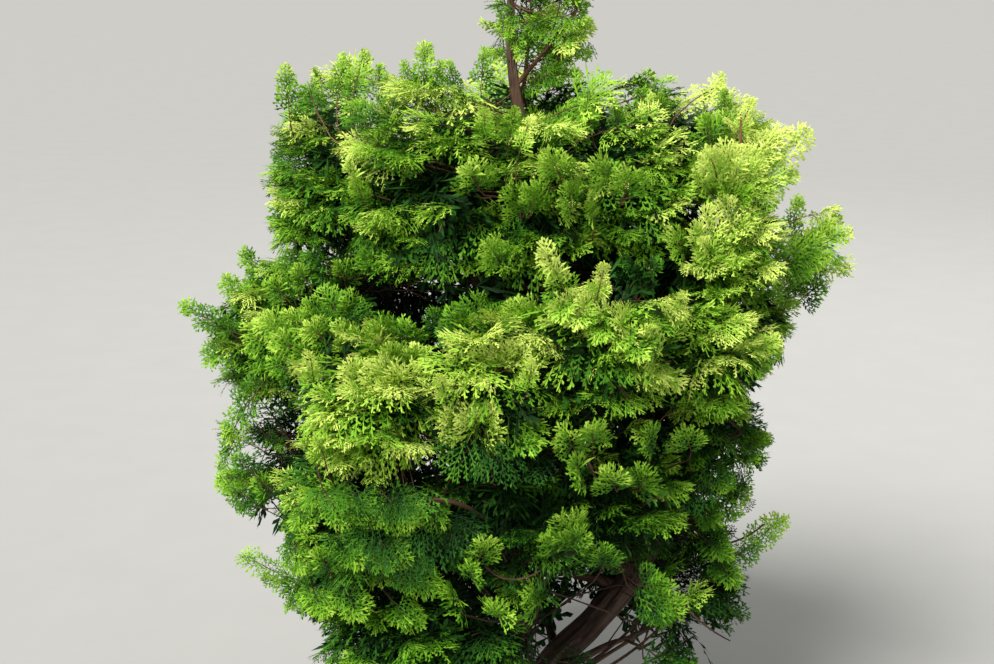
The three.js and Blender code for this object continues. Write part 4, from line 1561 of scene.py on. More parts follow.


@dataclass
class Crown:
    """All the masses, and where their sprays and fans go.

    Attributes:
        trunk: The trunk that they grow from.
        seat_gap: Between sprays in a layer.
        far_scale: What the gaps between sprays are multiplied by in the masses at the back.
        overlap: How far foliage goes past the plane to a neighbour.
        least_slope: The slope of a direction towards a plane below which it is taken never to meet it.
        old_fans: Old fans along a bough, dark with painted shade.
        inner_fans: Old fans inside a mass of middling size, dark with painted shade.
        shoots_above: Height of a mass's middle over which plumes stand up from its top.
        masses: The masses, in the plan's order.
    """

    trunk: Trunk
    seat_gap: float = 42.0
    far_scale: float = 1.28
    overlap: float = 6.0
    least_slope: float = 0.05
    old_fans: int = 14
    inner_fans: int = 14
    shoots_above: float = 320.0
    masses: list[Mass] = field(init=False)

    def __post_init__(self) -> None:
        """Lays the masses out by the plan."""
        self.masses = []
        for tier in TIERS:
            for place, lobe in enumerate(tier.lobes):
                root = self.trunk.at_height(lobe.height - tier.rise - BOUGH_STAGGER[place % 3])
                self.masses.append(Mass(tier, lobe, place, len(self.masses) + 1, root))

    def nearest_plane(self, mass: Mass, directions: Array) -> Array:
        """Finds how far the nearest plane to a neighbour is from a mass's middle.

        The plane between two masses cuts the line between their middles where the squares of their sizes say,
        so that the larger one gets more. Along a direction it is at its distance over the direction's slope.

        Args:
            mass: The mass.
            directions: N by 3.

        Returns:
            N distances, infinite where no plane is met.
        """
        others = [other for other in self.masses if other is not mass]
        apart = np.stack([other.middle - mass.middle for other in others])
        distance = np.linalg.norm(apart, axis=1)
        sizes = np.array([other.size for other in others])
        share = 0.5 + (mass.size**2 - sizes**2) / (2 * distance**2)
        slope = directions @ (apart / distance[:, None]).T
        least = self.least_slope
        at = np.where(slope > least, share * distance - CLEARANCE, np.inf) / np.maximum(slope, least)
        return at.min(axis=1)

    def rows(self, mass: Mass, scale: float) -> tuple[Array, Array]:
        """Sets out the seats of a mass's sprays or fans in layers.

        The layers are the plan's, with others between them at even steps, and each has as many seats as its
        length holds.

        Args:
            mass: The mass.
            scale: What the gaps between layers and between seats are multiplied by.

        Returns:
            Turn and pitch of each seat in degrees.
        """
        layers = mass.tier.habit.value
        pitches = np.array([layer.pitch for layer in layers], float)
        rounds = np.array([layer.round for layer in layers], float)
        span = math.radians(pitches[-1] - pitches[0]) * mass.size
        count = max(4, round(span / (mass.tier.gap * scale)))
        row_pitch = np.linspace(pitches[0], pitches[-1], count)
        row_round = np.interp(row_pitch, pitches, rounds) + 16
        turns, ups = [], []
        for row in range(count):
            width = math.radians(2 * row_round[row]) * math.cos(math.radians(row_pitch[row])) * mass.half[1]
            seats = max(1, round(width / (self.seat_gap * scale)))
            seat = (np.arange(seats) + 0.5) / seats * 2 - 1
            seat = seat + float(jitter(mass.seed, row, 21, 1.0 / seats))
            turns.append(seat * row_round[row])
            ups.append(np.full(seats, row_pitch[row] + float(jitter(mass.seed, row, 22, 5.0))))
        return np.concatenate(turns), np.concatenate(ups)

    def sprays(self, number: int) -> Fans:
        """Places the sprays that make the outside of one mass.

        A spray ends at its mass's edge, or at the plane to a neighbour. Its root is a spray's length further
        in. The crown's slow swelling moves it out or in. Those that would point at the trunk are left out.

        Args:
            number: The mass's number in the list.

        Returns:
            Its sprays.
        """
        mass = self.masses[number]
        turn, pitch = self.rows(mass, self.far_scale if mass.far else 1.0)
        i = np.arange(len(turn))
        seed = mass.seed
        turn = np.radians(turn + jitter(seed, i, 1, 9))
        pitch = np.radians(pitch + jitter(seed, i, 2, 8))
        direction = mass.directions(turn, pitch)
        full = mass.reach(direction)
        plane = self.nearest_plane(mass, direction) + self.overlap
        wave = swell(mass.middle + direction * full[:, None])
        reach = np.minimum(full * mass.lobe.trim * (0.92 + 0.07 * wave + jitter(seed, i, 3, 0.05)), plane)
        length = np.clip(reach * 0.74, 32, 70) * (1 + jitter(seed, i, 4, 0.14))
        level = mass.tier.level
        rise = pitch * (1 - level) + 0.12 * level + jitter(seed, i, 6, 0.3 - 0.12 * level)
        along = mass.directions(turn + jitter(seed, i, 5, 0.35), rise)
        tip = mass.middle + direction * reach[:, None]
        droop = mass.tier.droop + jitter(seed, i, 9, 0.35)
        cup = np.where(chance(seed, i, 10) < 0.3, -0.3, 0.5) * (0.5 + chance(seed, i, 11))
        # painted light on sprays that face up or swell out, painted shade on those a neighbour cuts short,
        # and the spots
        sun = mass.tier.sun + mass.lobe.sun + 0.2 * direction[:, 2] + 0.12 * wave + jitter(seed, i, 12, 0.2)
        sun = sun - 0.4 * (1 - np.clip(plane / full, 0, 1)) + sunned(tip)
        root = tip - along * length[:, None]
        fans = fans_of(number, root, along, jitter(seed, i, 8, 0.42), length, droop, cup, sun)
        hidden = (direction @ mass.out < -0.35) & (direction[:, 2] < 0.6) & (mass.lobe.reach > 60)
        return fans.kept((reach > 0.5 * full) & ~hidden)

    def sprigs(self, sprays: Fans, growth: Growth) -> Fans:
        """Places the small fans of every spray.

        They leave its middle left and right in turn, from wide to forward, and one ends it. Each is turned
        and lifted a little on its own, so that a spray is ruffled and not flat.

        Args:
            sprays: The sprays.
            growth: Their kind.

        Returns:
            Their fans.
        """
        rule = growth.value
        n, k = np.arange(len(sprays.length))[:, None], np.arange(rule.count)[None, :]
        sides = np.where(k % 2 == 1, 1.0, -1.0) * (k < rule.count - 1)
        share = np.minimum(k / (rule.count - 2), 1)
        at = rule.first + (rule.last - rule.first) * share + jitter(n, k, 51, 0.03)
        angle = sides * np.radians(rule.wide + (rule.narrow - rule.wide) * share) + jitter(n, k, 52, 0.2)
        climb = jitter(n, k, 53, 0.3)
        size = (rule.size + (rule.last_size - rule.size) * share) * (1 + jitter(n, k, 54, 0.18))
        zero = np.zeros_like(at)
        root = np.stack([at, zero, zero], axis=-1)
        ahead = heading(angle, climb)
        start = sprays.bent(root)
        along = unit(sprays.bent(root + 0.25 * ahead) - start)
        face = sprays.bent(root + [0, 0, 0.1]) - start
        face = unit(face - along * np.sum(face * along, axis=-1, keepdims=True))
        roll = sides * 0.2 + jitter(n, k, 55, 0.45)
        face = turned(face.reshape(-1, 3), along.reshape(-1, 3), roll.ravel())
        lengths = sprays.length[:, None] * size
        droop = 0.2 + 0.7 * sprays.droop[:, None] + jitter(n, k, 56, 0.5)
        cup = np.where(chance(n, k, 57) < 0.25, -0.5, 0.6) * (0.5 + chance(n, k, 58))
        # lighter towards the spray's tip: the yellower new growth, and painted light on the rim
        sun = sprays.sun[:, None] + 0.46 * (at - 0.36) + jitter(n, k, 59, 0.08)
        mass = np.repeat(sprays.mass, rule.count)
        flat = (lengths.ravel(), droop.ravel(), cup.ravel(), sun.ravel())
        return Fans(start.reshape(-1, 3), along.reshape(-1, 3), face, *flat, mass)

    def deeper(self, number: int, make: Make) -> Fans:
        """Places the fans behind one mass's sprays, by the same rule on smaller ellipsoids.

        Args:
            number: The mass's number in the list.
            make: LONG for the shaded fans just behind the sprays, CORE for those that fill its middle.

        Returns:
            The fans.
        """
        mass = self.masses[number]
        core = make is Make.CORE
        turn, pitch = self.rows(mass, 0.84 if core else 1.5 if mass.far else 1.1)
        i = np.arange(len(turn)) + (500 if core else 300)
        seed = mass.seed
        turn = np.radians(turn * (1.6 if core else 1.1) + jitter(seed, i, 1, 14))
        pitch = np.radians(pitch + jitter(seed, i, 2, 14))
        direction = mass.directions(turn, pitch)
        inner = np.where(direction @ mass.out < 0, 0.92, 0.62) - 0.3 * np.maximum(direction[:, 2], 0)
        depth = inner if core else 0.84
        full = mass.reach(direction) * mass.lobe.trim * (depth + jitter(seed, i, 3, 0.13 if core else 0.05))
        reach = np.minimum(full, self.nearest_plane(mass, direction) + self.overlap)
        length = np.clip(reach * 0.95, 24, 60 if core else 54)
        along = mass.directions(turn + jitter(seed, i, 5, 0.4), pitch * 0.8 - 0.25)
        tip = mass.middle + direction * reach[:, None]
        roll = jitter(seed, i, 8, 1.4 if core else 0.6)
        # painted shade: fans behind the sprays take darker tints than their mass, core fans the darkest,
        # lighter facing up as painted light
        shaded = mass.tier.sun + mass.lobe.sun - 0.22 + 0.6 * sunned(tip)
        sun = 0.16 * np.maximum(direction[:, 2], 0) if core else shaded
        sun = sun + jitter(seed, i, 12, 0.1)
        root = tip - along * length[:, None]
        fans = fans_of(number, root, along, roll, length, *OLD[:2], sun)
        if core:
            return fans.kept((mass.size > 60) & (direction[:, 2] < 0.85))
        return fans.kept(reach > 0.8 * full)

    def old(self, number: int) -> Fans:
        """Places the old fans that stay along a bough, between the trunk and one mass, dark with painted
        shade.

        They stand at chance places round the line from the trunk to the mass's middle, and point any way.

        Args:
            number: The mass's number in the list.

        Returns:
            The fans.
        """
        mass = self.masses[number]
        count = round(self.old_fans * min(mass.lobe.reach / 130, 1.3)) if mass.lobe.reach > 90 else 0
        i = np.arange(count)
        start = self.trunk.at_height(mass.lobe.height - 0.5 * mass.tier.rise)
        share = 0.12 + 0.6 * (i + chance(mass.seed, i, 61)) / max(count, 1)
        middle = start + (mass.middle - start) * share[:, None] + scatter(mass.seed, i, 62, (34, 34, 26))
        along, length = unit(scatter(mass.seed, i, 65, (1, 1, 0.6))), 44 + jitter(mass.seed, i, 69, 8)
        root = middle - along * length[:, None] * 0.5
        return fans_of(number, root, along, jitter(mass.seed, i, 68, 1.5), length, *OLD)

    def inner(self, number: int) -> Fans:
        """Places old fans, dark with painted shade, at chance places in the middle of one mass, each pointing
        its own way.

        Args:
            number: The mass's number in the list.

        Returns:
            The fans.
        """
        mass = self.masses[number]
        i = np.arange(round(self.inner_fans * (mass.size / 75) ** 2) if mass.size > 50 else 0) + 700
        seed = mass.seed
        aside = unit(scatter(seed, i, 71, (1, 1, 1)))
        far = 0.64 * chance(seed, i, 74) ** 0.4
        flat = mass.out * aside[:, :1] * mass.half[0] + mass.across * aside[:, 1:2] * mass.half[1]
        middle = mass.middle + (flat + UP * aside[:, 2:] * mass.half[2]) * far[:, None] * mass.lobe.trim
        along = unit(scatter(seed, i, 75, (1, 1, 0.7)))
        length = np.clip(0.46 * mass.size, 18, 36) + jitter(seed, i, 79, 6)
        root = middle - along * length[:, None] * 0.5
        return fans_of(number, root, along, jitter(seed, i, 78, 1.5), length, *OLD)

    def named(self, growth: Growth) -> Fans:
        """Places the plan's own sprays of one kind, each in the mass whose middle is nearest.

        Args:
            growth: The kind.

        Returns:
            The sprays.
        """
        sets = [some for some in NAMED_FANS if some.growth is growth]
        rows = np.array([row for some in sets for row in some.rows], float)
        root, way, sun = rows[:, :3], rows[:, 3:6], rows[:, 6] / 100
        shared = [(s.droop, s.cup, s.rolls[k % len(s.rolls)]) for s in sets for k in range(len(s.rows))]
        droop, cup, roll = np.array(shared, float).T
        along = unit(way)
        front = np.array([0.0, -0.8, 0.6])
        face = turned(unit(front - along * (along @ front)[:, None]), along, roll)
        middles = np.stack([mass.middle for mass in self.masses])
        mass = np.linalg.norm((root + way)[:, None] - middles[None], axis=2).argmin(axis=1)
        return Fans(root, along, face, np.linalg.norm(way, axis=1), droop, cup, sun, mass)

    def shoots(self, number: int) -> Fans:
        """Places two narrow plumes that stand up from the top of one mass, if it isn't low.

        Args:
            number: The mass's number in the list.

        Returns:
            The plumes that no neighbour is in the way of.
        """
        mass = self.masses[number]
        i = np.arange(2 if mass.lobe.height > self.shoots_above else 0) + 900
        seed = mass.seed
        turn = np.radians(jitter(seed, i, 1, 100))
        pitch = np.radians(48 + jitter(seed, i, 2, 28))
        direction = mass.directions(turn, pitch)
        full = mass.reach(direction)
        plane = self.nearest_plane(mass, direction)
        length = 32 + jitter(seed, i, 4, 9)
        along = unit(direction * 0.5 + UP * 0.8 + mass.across * jitter(seed, i, 5, 0.4)[:, None])
        tip = mass.middle + direction * (full * 0.98)[:, None]
        sun = 0.56 + 0.5 * mass.lobe.sun + jitter(seed, i, 12, 0.12)
        root = tip - along * length[:, None]
        fans = fans_of(number, root, along, jitter(seed, i, 8, 1.2), length, 0.3, 0.2, sun)
        return fans.kept(plane > full)


def tubes(lines: Array, radii: Array) -> tuple[Array, Array, Array]:
    """Makes thin twigs with three sides along many lines of as many points each.

    A point of a ring is line + (side cos(a) + over sin(a)) radius.

    Args:
        lines: Twigs by points by 3.
        radii: Radius at each point of a line, the same for all.

    Returns:
        The points, the triangles, and each point's place on its twig in metres for the pattern.
    """
    count, rings = lines.shape[:2]
    tangents = unit(np.gradient(lines, axis=1))
    side = unit(np.cross(tangents, UP + 0.01))
    over = np.cross(tangents, side)
    turn = np.arange(3) * 2 * math.pi / 3
    spokes = side[:, :, None, :] * np.cos(turn)[:, None] + over[:, :, None, :] * np.sin(turn)[:, None]
    points = lines[:, :, None, :] + spokes * radii[None, :, None, None]
    last = 3 * (rings - 1)
    faces = np.vstack([skin_faces(rings, 3), [[0, 2, 1], [last, last + 1, last + 2]]])
    faces = faces[None] + 3 * rings * np.arange(count)[:, None, None]
    way = np.arange(rings)[None, :, None] * 9.0 + 17.0 * np.arange(count)[:, None, None]
    round_ = np.broadcast_to(turn, points.shape[:3])
    places = np.stack([np.cos(round_), np.sin(round_), np.broadcast_to(way, points.shape[:3])], axis=-1) * MM
    return points.reshape(-1, 3), faces.reshape(-1, 3), places.reshape(-1, 3)


@dataclass(frozen=True)
class Clearing:
    """A round way through the foliage, where nothing but limbs grows.

    Attributes:
        start: One end of its line.
        end: The other end.
        radius: Its radius.
    """

    start: Point
    end: Point
    radius: float

    def holds(self, points: Array, spare: float) -> Array:
        """Tells which points are nearer to its line than its radius and a spare width.

        Args:
            points: The points, 3 numbers each.
            spare: The spare width.

        Returns:
            True for each that is.
        """
        a, b = np.array(self.start), np.array(self.end)
        share = np.clip(((points - a) @ (b - a)) / np.sum((b - a) ** 2), 0, 1)
        return np.linalg.norm(points - a - share[..., None] * (b - a), axis=-1) < self.radius + spare


CLEARING_LINES = (  # both ends and the radius
    (18, -230, 226, 40, 230, 25, 10.9), (53, -230, 216, 91, 230, 10, 11.7),
    (40, -230, 200, 69, 198, 2, 10.9), (69, -230, 197, 109, 190, 2, 7), (97, -230, 250, 155, 230, 60, 5.5),
    (115, -230, 206, 178, 216, 2, 9.4), (2, -230, 195, 9, -6, 90, 7.8), (17, -230, 210, 28, -8, 110, 10.9),
    (33, -230, 226, 47, -8, 129, 10.9), (47, -230, 241, 64, -6, 147, 10.1), (58, -230, 254, 77, -4, 162, 7),
    (-198, -150, 339, -251, 200, 234, 10.1), (-201, -150, 307, -256, 200, 191, 8.6),
    (-176, -150, 218, -222, 200, 73, 3.9), (130, -180, 324, 187, 200, 201, 5.5),
    (122, -180, 312, 175, 200, 185, 3.9), (-213, -150, 256, -271, 200, 124, 13.3),
    (-196, -150, 246, -249, 200, 110, 9.4), (167, -180, 366, 237, 200, 257, 15.6),
    (155, -180, 356, 221, 200, 244, 10.9), (175, -180, 340, 248, 200, 222, 10.9),
    (169, -180, 319, 240, 200, 193, 15.6), (159, -180, 295, 226, 200, 161, 14),
    (186, -180, 396, 262, 200, 298, 14), (159, -180, 220, 226, 200, 60, 10.9),
    (13, -60, 585, 17, 60, 576, 3.1), (25, -60, 607, 31, 60, 601, 3.9), (6, -60, 596, 10, 60, 588, 2.3),
    (176, -180, 414, 248, 200, 323, 9.4), (171, -180, 392, 243, 200, 293, 9.4),
    (156, -180, 345, 222, 200, 229, 7), (152, -180, 294, 216, 200, 159, 10.1),
    (166, -180, 487, 218, 100, 439, 8.6), (46, -60, 604, 53, 60, 597, 6.2),
    (44, -60, 584, 51, 60, 576, 6.2), (147, -180, 220, 210, 200, 60, 7),
    (-165, -180, 177, -213, 200, 1, 7.8),
)
CLEARINGS = tuple(Clearing(row[:3], row[3:6], row[6]) for row in CLEARING_LINES)


HOLLOW_SPOTS = (  # place and radius, where the outer fans leave a dark hollow
    (-78, -148, 503, 11), (-54, -149, 494, 14), (-48, -150, 478, 12), (-136, -117, 461, 8),
    (-97, -132, 416, 13), (-118, -118, 415, 11), (-75, -137, 414, 9), (-15, -152, 486, 8),
    (-35, -142, 432, 7), (19, -180, 455, 13), (41, -188, 454, 16), (68, -175, 453, 16),
    (100, -120, 447, 11), (63, -197, 443, 12), (77, -186, 443, 11), (-15, -219, 318, 14),
    (-28, -199, 295, 14), (-6, -200, 282, 11), (-39, -200, 282, 9), (-48, -192, 240, 8),
    (-20, -199, 250, 9), (37, -221, 357, 8), (43, -176, 284, 8), (97, -200, 396, 10),
    (113, -150, 320, 11), (-100, -187, 216, 10), (-164, -189, 315, 8), (12, -210, 339, 7),
    (84, -148, 319, 7), (69, -171, 250, 9), (-50, -240, 343, 12), (-83, -224, 352, 9),
    (-168, -195, 358, 9), (53, -214, 349, 8), (-126, -193, 398, 5), (-143, -197, 279, 8),
    (-49, -195, 190, 9), (-25, -202, 193, 8), (-111, -192, 177, 8), (-172, -187, 365, 10),
    (-167, -198, 342, 9), (13, -224, 388, 9), (35, -227, 386, 8), (57, -224, 380, 8),
    (51, -204, 441, 10), (-130, -123, 490, 7), (-68, -145, 516, 8), (-64, -152, 471, 9),
    (64, -118, 518, 7), (-28, -243, 363, 8), (-19, -236, 385, 7), (152, -127, 414, 6),
    (105, -187, 379, 6), (-28, -195, 211, 7),
)
HOLLOWS = tuple(Clearing((x, y - 26, z + 6), (x, y + 38, z - 10), r) for x, y, z, r in HOLLOW_SPOTS)


PROBES = np.array([[0.3, 0, 0], [0.6, 0, 0], [0.95, 0, 0], [0.7, 0.4, 0], [0.7, -0.4, 0]])  # places on a fan


@dataclass
class Foliage:
    """The fans and twigs of the whole crown.

    Attributes:
        crown: The masses.
        boughs: The limbs that fans stay clear of.
        clear: How far a fan stays from a limb's skin.
        tip_lift: How much lighter the tips of a fan are than its root, as a share of all tints: new growth,
            and painted light.
        even_level: Share of a fan's length at which it has its own tint.
        shade_rod: Radius of the rod in which the fans over a fan are counted.
        shade_from: How far from the fan's rim the rod starts.
        shade_to: And where it ends.
        shade_count: With more than so many in it, a fan gets too little light.
        large: Length over which a small fan has the full count of blades, unless it is at the back.
        tiny: Length under which it has the fewest, so that blades are about as large everywhere.
        core_spare: How much wider the clearings are inside the crown.
        twig_end: A twig's radius at its end.
    """

    crown: Crown
    boughs: Boughs
    clear: float = 1.2
    tip_lift: float = 0.3
    even_level: float = 0.62
    shade_rod: float = 14.0
    shade_from: float = 12.0
    shade_to: float = 110.0
    shade_count: int = 2
    large: float = 21.0
    tiny: float = 13.5
    core_spare: float = 5.0
    twig_end: float = 0.4

    def limbs(self) -> tuple[Array, Array]:
        """Gives points along all limbs.

        Returns:
            Points on the lines of the trunk and of every bough and stem, and the radii there.
        """
        line = self.crown.trunk.centre_line(12)
        limbs = [(line, self.crown.trunk.radius(line[:, 2]))]
        limbs += [self.boughs.line(mass, self.crown.trunk) for mass in self.crown.masses]
        lines, radii = zip(*limbs)
        return np.vstack([line[::3] for line in lines]), np.concatenate([radius[::3] for radius in radii])

    def roomy(self, fans: Fans, clearings: tuple[Clearing, ...], spare: float = 0.0) -> Fans:
        """Picks the fans that touch no limb and leave the clearings open, by the probed places on them.

        Args:
            fans: The fans.
            clearings: The clearings.
            spare: How much wider than its radius a clearing stays open.

        Returns:
            Those that have room.
        """
        probes = fans.bent(PROBES)
        centres, radii = self.limbs()
        free = np.ones(len(fans.length), bool)
        for k in range(probes.shape[1]):
            gap = np.linalg.norm(probes[:, k, None, :] - centres[None], axis=2) - radii[None]
            free &= gap.min(axis=1) > self.clear
        for clearing in clearings:
            free &= ~clearing.holds(probes, spare).any(axis=1)
        return fans.kept(free)

    def lit(self, fans: Fans) -> Fans:
        """Picks the fans that get light enough to live.

        From each fan's rim a way out is taken, away from the trunk and half as steeply up. The other fans'
        rims in a rod round it are counted, and too many of them leave the fan in the dark.

        Args:
            fans: The fans.

        Returns:
            Those that live.
        """
        rims = fans.bent(np.array([[0.8, 0.0, 0.0]]))[:, 0]
        line = self.crown.trunk.centre_line(4)
        axis = np.stack([np.interp(rims[:, 2], line[:, 2], line[:, i]) for i in range(2)], axis=1)
        away = rims[:, :2] - axis
        away = unit(np.column_stack([away, 0.5 * np.linalg.norm(away, axis=1)]))
        over = np.zeros(len(rims))
        for some in np.array_split(np.arange(len(rims)), 16):
            gap = rims[None] - rims[some][:, None]
            ahead = np.einsum("cnk,ck->cn", gap, away[some])
            aside = np.sum(gap**2, axis=2) - ahead**2
            inside = (ahead > self.shade_from) & (ahead < self.shade_to) & (aside < self.shade_rod**2)
            over[some] = np.sum(inside, axis=1)
        return fans.kept(over <= self.shade_count)

    def slivers(self, fans: Fans, make: Make) -> tuple[Array, Array, Array]:
        """Puts the variants of a make on the fans.

        Args:
            fans: The fans.
            make: Their make.

        Returns:
            Corners of all slivers, N by 4 by 3, the tint of each, and the number of its mass.
        """
        corners, tints, masses = [], [], []
        for variant in range(VARIANTS):
            pattern = make.value.grow(variant * 17 + 3)
            some = fans.kept(np.arange(len(fans.length)) % VARIANTS == variant)
            local = pattern.corners()
            placed = some.bent(local.reshape(-1, 3))
            number = np.arange(local.shape[0])
            # each blade's tint: its fan's sun, lighter towards the tips for new growth and painted light on
            # the rim
            lift = self.tip_lift * (pattern.level - self.even_level)[None, :]
            spread = jitter(number[None, :], some.root[:, :1] * 0.01, 2, 0.05)
            tint = np.clip((some.sun[:, None] + lift + spread) * len(TINTS), 0, len(TINTS) - 1).astype(int)
            corners.append(placed.reshape(-1, 4, 3))
            tints.append(tint.ravel())
            masses.append(np.repeat(some.mass, local.shape[0]))
        return np.concatenate(corners), np.concatenate(tints), np.concatenate(masses)

    def each(self, place: Callable[[int], Fans]) -> Fans:
        """Joins what a method of the crown places in every mass in turn."""
        return joined_fans([place(number) for number in range(len(self.crown.masses))])

    def outer(self, fans: Fans) -> dict[Make, Fans]:
        """Deals the outer fans out to makes of more or fewer blades, by their length and their side.

        Args:
            fans: The fans.

        Returns:
            The fans of each make.
        """
        far = np.array([mass.far for mass in self.crown.masses])[fans.mass]
        large, tiny = ~far & (fans.length > self.large), fans.length < self.tiny
        small = ~large & ~tiny
        return {Make.SPRIG: fans.kept(large), Make.SMALL: fans.kept(small), Make.TINY: fans.kept(tiny)}

    def deeper(self, alone: Fans) -> dict[Make, Fans]:
        """Places the fans behind the sprays.

        Args:
            alone: Single fans of the plan's own.

        Returns:
            The fans of each make.
        """
        crown = self.crown
        shaded = self.roomy(self.each(lambda number: crown.deeper(number, Make.LONG)), CLEARINGS + HOLLOWS)
        core = self.each(lambda number: crown.deeper(number, Make.CORE))
        old = joined_fans([self.each(crown.old), self.each(crown.inner)])
        return {
            Make.LONG: joined_fans([shaded, alone]),
            Make.CORE: self.roomy(core, CLEARINGS, self.core_spare),
            Make.INNER: self.roomy(old, CLEARINGS, self.core_spare),
        }

    def leaves(self, sets: dict[Make, Fans], finishes: dict[Tint, Material]) -> None:
        """Makes the pieces of leaves, one for each tier and tint.

        Args:
            sets: The fans of each make.
            finishes: The leaf materials by tint.
        """
        parts = [self.slivers(fans, make) for make, fans in sets.items()]
        for (make, fans), part in zip(sets.items(), parts):
            log.info("%s: %d fans, %d blades", make.name, len(fans.length), len(part[0]))
        corners, tints, masses = (np.concatenate([part[i] for part in parts]) for i in range(3))
        tier_of = np.array([TIERS.index(mass.tier) for mass in self.crown.masses])[masses]
        for t, tier in enumerate(TIERS):
            nodes = [mass.node for mass in self.crown.masses if mass.tier is tier]
            for k, tint in enumerate(TINTS):
                some = corners[(tier_of == t) & (tints == k)]
                if not len(some):
                    continue
                faces = (SLIVER_FACES[None] + 4 * np.arange(len(some))[:, None, None]).reshape(-1, 3)
                name = f"{tier.name}_leaves_{tint.value.name}"
                piece = make_piece(name, some.reshape(-1, 3), faces, finishes[tint])
                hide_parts(*nodes)

    def build(self, finishes: dict[Tint, Material], bark: Material) -> None:
        """Makes the pieces of leaves and the twigs that carry them.

        Args:
            finishes: The leaf materials by tint.
            bark: The twigs' bark.
        """
        crown = self.crown
        sprays = self.roomy(self.each(crown.sprays), CLEARINGS)
        sprigs = self.lit(self.roomy(crown.sprigs(sprays, Growth.SPRAY), CLEARINGS + HOLLOWS))
        spray, plume, alone = (crown.named(growth) for growth in Growth)
        upright = joined_fans([plume, self.each(crown.shoots)])
        outer = joined_fans([sprigs, crown.sprigs(spray, Growth.SPRAY), crown.sprigs(upright, Growth.PLUME)])
        sets = self.outer(outer) | self.deeper(crown.sprigs(alone, Growth.FAN))
        self.leaves(sets, finishes)
        self.twigs("spray_twigs", joined_fans([sprays, spray]), 0.58, 0.85, bark)
        self.twigs("plume_twigs", upright, 0.8, 0.5, bark)
        self.twigs("fan_twigs", joined_fans([sets[Make.LONG], sets[Make.CORE]]), 0.05, 0.7, bark)

    def twigs(self, name: str, fans: Fans, into: float, radius: float, bark: Material) -> None:
        """Makes a twig from the nearest limb to every fan or spray, and some way along it.

        A twig is a quadratic Bezier curve that leaves the limb where it is nearest to a point one length
        behind the fan, and ends along the fan, and then follows the fan's middle. Its radius falls evenly.

        Args:
            name: The piece's name.
            fans: What the twigs carry.
            into: How far along a fan its twig goes, as a share of its length.
            radius: A twig's radius at the stem.
            bark: The twigs' bark.
        """
        centres, _ = self.limbs()
        behind = fans.root - fans.along * fans.length[:, None]
        start = centres[np.linalg.norm(behind[:, None] - centres[None], axis=2).argmin(axis=1)]
        shares = np.array([into]) if into < 0.1 else np.linspace(0, into, 3)
        inside = fans.bent(np.stack([shares, 0 * shares, 0 * shares], axis=1))
        ahead = unit(fans.bent(np.array([[0.1, 0, 0]]))[:, 0] - fans.root)
        back = np.linalg.norm(fans.root - start, axis=1)[:, None]
        controls = np.stack([start, fans.root - ahead * back * 0.45, fans.root], axis=1)
        lines = np.concatenate([bezier(controls, np.array([0.0, 0.35, 0.75])), inside], axis=1)
        points, faces, places = tubes(lines, np.linspace(radius, self.twig_end, lines.shape[1]))
        make_piece(name, points, faces, bark, True, places)


# ---- the stage ---------------------------------------------------------------------------------------


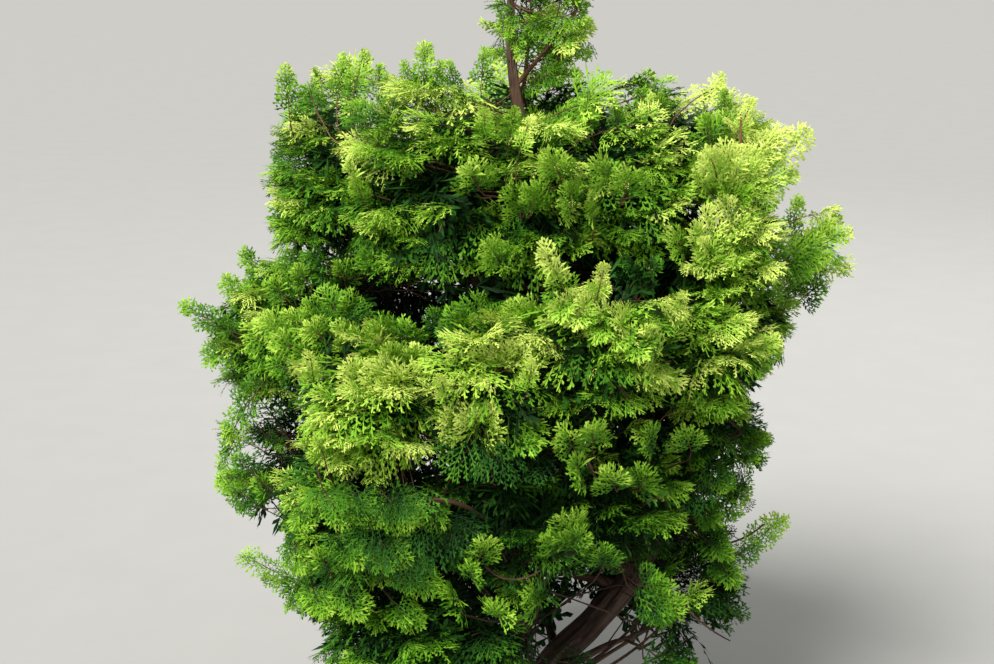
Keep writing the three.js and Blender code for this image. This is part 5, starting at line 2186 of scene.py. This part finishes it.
@dataclass
class Stage:
    """Floor, light and camera, in metres.

    Attributes:
        eye: Where the camera is.
        aim: What it looks at.
        lens: Its focal length in mm, on a sensor 36 mm wide.
        floor_half: Half the floor's side.
        ambient: Strength of the even light from all round.
        key_from: Where the main light comes from.
        key_strength: Its strength.
        key_angle: How wide it looks, in degrees.
        crown_at: What the other lights point at.
    """

    eye: Point = (-0.03, -1.2517, 0.672)
    aim: Point = (-0.03, 0.0, 0.36)
    lens: float = 60.0
    floor_half: float = 40.0
    ambient: float = 0.32
    key_from: Point = (-1.0, -1.3, 1.9)
    key_strength: float = 4.8
    key_angle: float = 32.0
    crown_at: Point = (0.0, 0.0, 0.36)

    def build(self) -> None:
        """Makes all of it."""
        self.floor()
        self.sky()
        here, angle = self.crown_at, math.radians(self.key_angle)
        key = {"energy": self.key_strength, "angle": angle, "color": (1.0, 0.985, 0.95)}
        self.light("key_light", "SUN", self.key_from, (0.0, 0.0, 0.0), **key)
        self.light("fill_light", "AREA", (1.9, -1.6, 1.4), here, size=1.8, energy=8, color=(0.95, 0.98, 1.0))
        self.light("rim_light", "AREA", (0.8, 1.6, 1.9), here, size=1.4, energy=14, color=(1.0, 1.0, 0.98))
        self.camera()

    def floor(self) -> None:
        """Makes the plain pale floor."""
        material, kit, shader = new_material("floor")
        noise = kit.add("TexNoise", Vector=kit.add("TexCoord").outputs["Object"], Scale=14.0, Detail=4.0)
        tone = kit.mix(noise.outputs["Fac"], (0.40, 0.40, 0.388), (0.43, 0.43, 0.417))
        kit.dress(shader, Base_Color=tone, Roughness=0.9)
        h = self.floor_half
        mesh = bpy.data.meshes.new("floor")
        mesh.from_pydata([(-h, -h, 0), (h, -h, 0), (h, h, 0), (-h, h, 0)], [], [(0, 1, 2, 3)])
        mesh.materials.append(material)
        obj = bpy.data.objects.new("floor", mesh)
        bpy.context.scene.collection.objects.link(obj)

    def sky(self) -> None:
        """Makes the even light from all round."""
        world = bpy.data.worlds.new("studio")
        world.use_nodes = True
        back = world.node_tree.nodes["Background"]
        back.inputs["Color"].default_value = (1.0, 1.0, 0.97, 1.0)
        back.inputs["Strength"].default_value = self.ambient
        bpy.context.scene.world = world
        bpy.context.scene.view_settings.view_transform = "Standard"

    def light(self, name: str, kind: str, place: Point, aim: Point, **settings: object) -> None:
        """Adds a light.

        Args:
            name: Its name.
            kind: Its type.
            place: Where it is.
            aim: What it points at.
            settings: Its properties by name.
        """
        data = bpy.data.lights.new(name, kind)
        for key, value in settings.items():
            setattr(data, key, value)
        self.place(bpy.data.objects.new(name, data), place, aim)

    def place(self, obj: Object, eye: Point, aim: Point) -> None:
        """Puts a light or camera at eye and points it at aim."""
        obj.location, obj.rotation_euler = eye, looking(eye, aim)
        bpy.context.scene.collection.objects.link(obj)

    def camera(self) -> None:
        """Adds the camera."""
        data = bpy.data.cameras.new("camera")
        data.lens, data.sensor_width = self.lens, 36.0
        obj = bpy.data.objects.new("camera", data)
        self.place(obj, self.eye, self.aim)
        bpy.context.scene.camera = obj


def looking(eye: Point, aim: Point) -> Point:
    """Gives the turn that points a camera or light at eye towards aim."""
    x, y, z = (a - e for a, e in zip(aim, eye))
    return (math.atan2(math.hypot(x, y), -z), 0.0, math.atan2(-x, y))


# ---- all of it ---------------------------------------------------------------------------------------


def main() -> None:
    """Builds the stage and the plant."""
    logging.basicConfig(level=logging.INFO, format="%(message)s")
    Stage().build()
    fibres, scales = bark_fibre_group(), scale_leaf_group()
    trunk_bark, bough_bark = TRUNK_BARK.build(fibres), BOUGH_BARK.build(fibres)
    leaves = {tint: tint.value.build(scales) for tint in Tint}
    trunk = Trunk()
    trunk.build(trunk_bark)
    crown = Crown(trunk)
    boughs = Boughs()
    boughs.build(crown.masses, trunk, bough_bark)
    Foliage(crown, boughs).build(leaves, bough_bark)


if __name__ == "__main__":
    main()
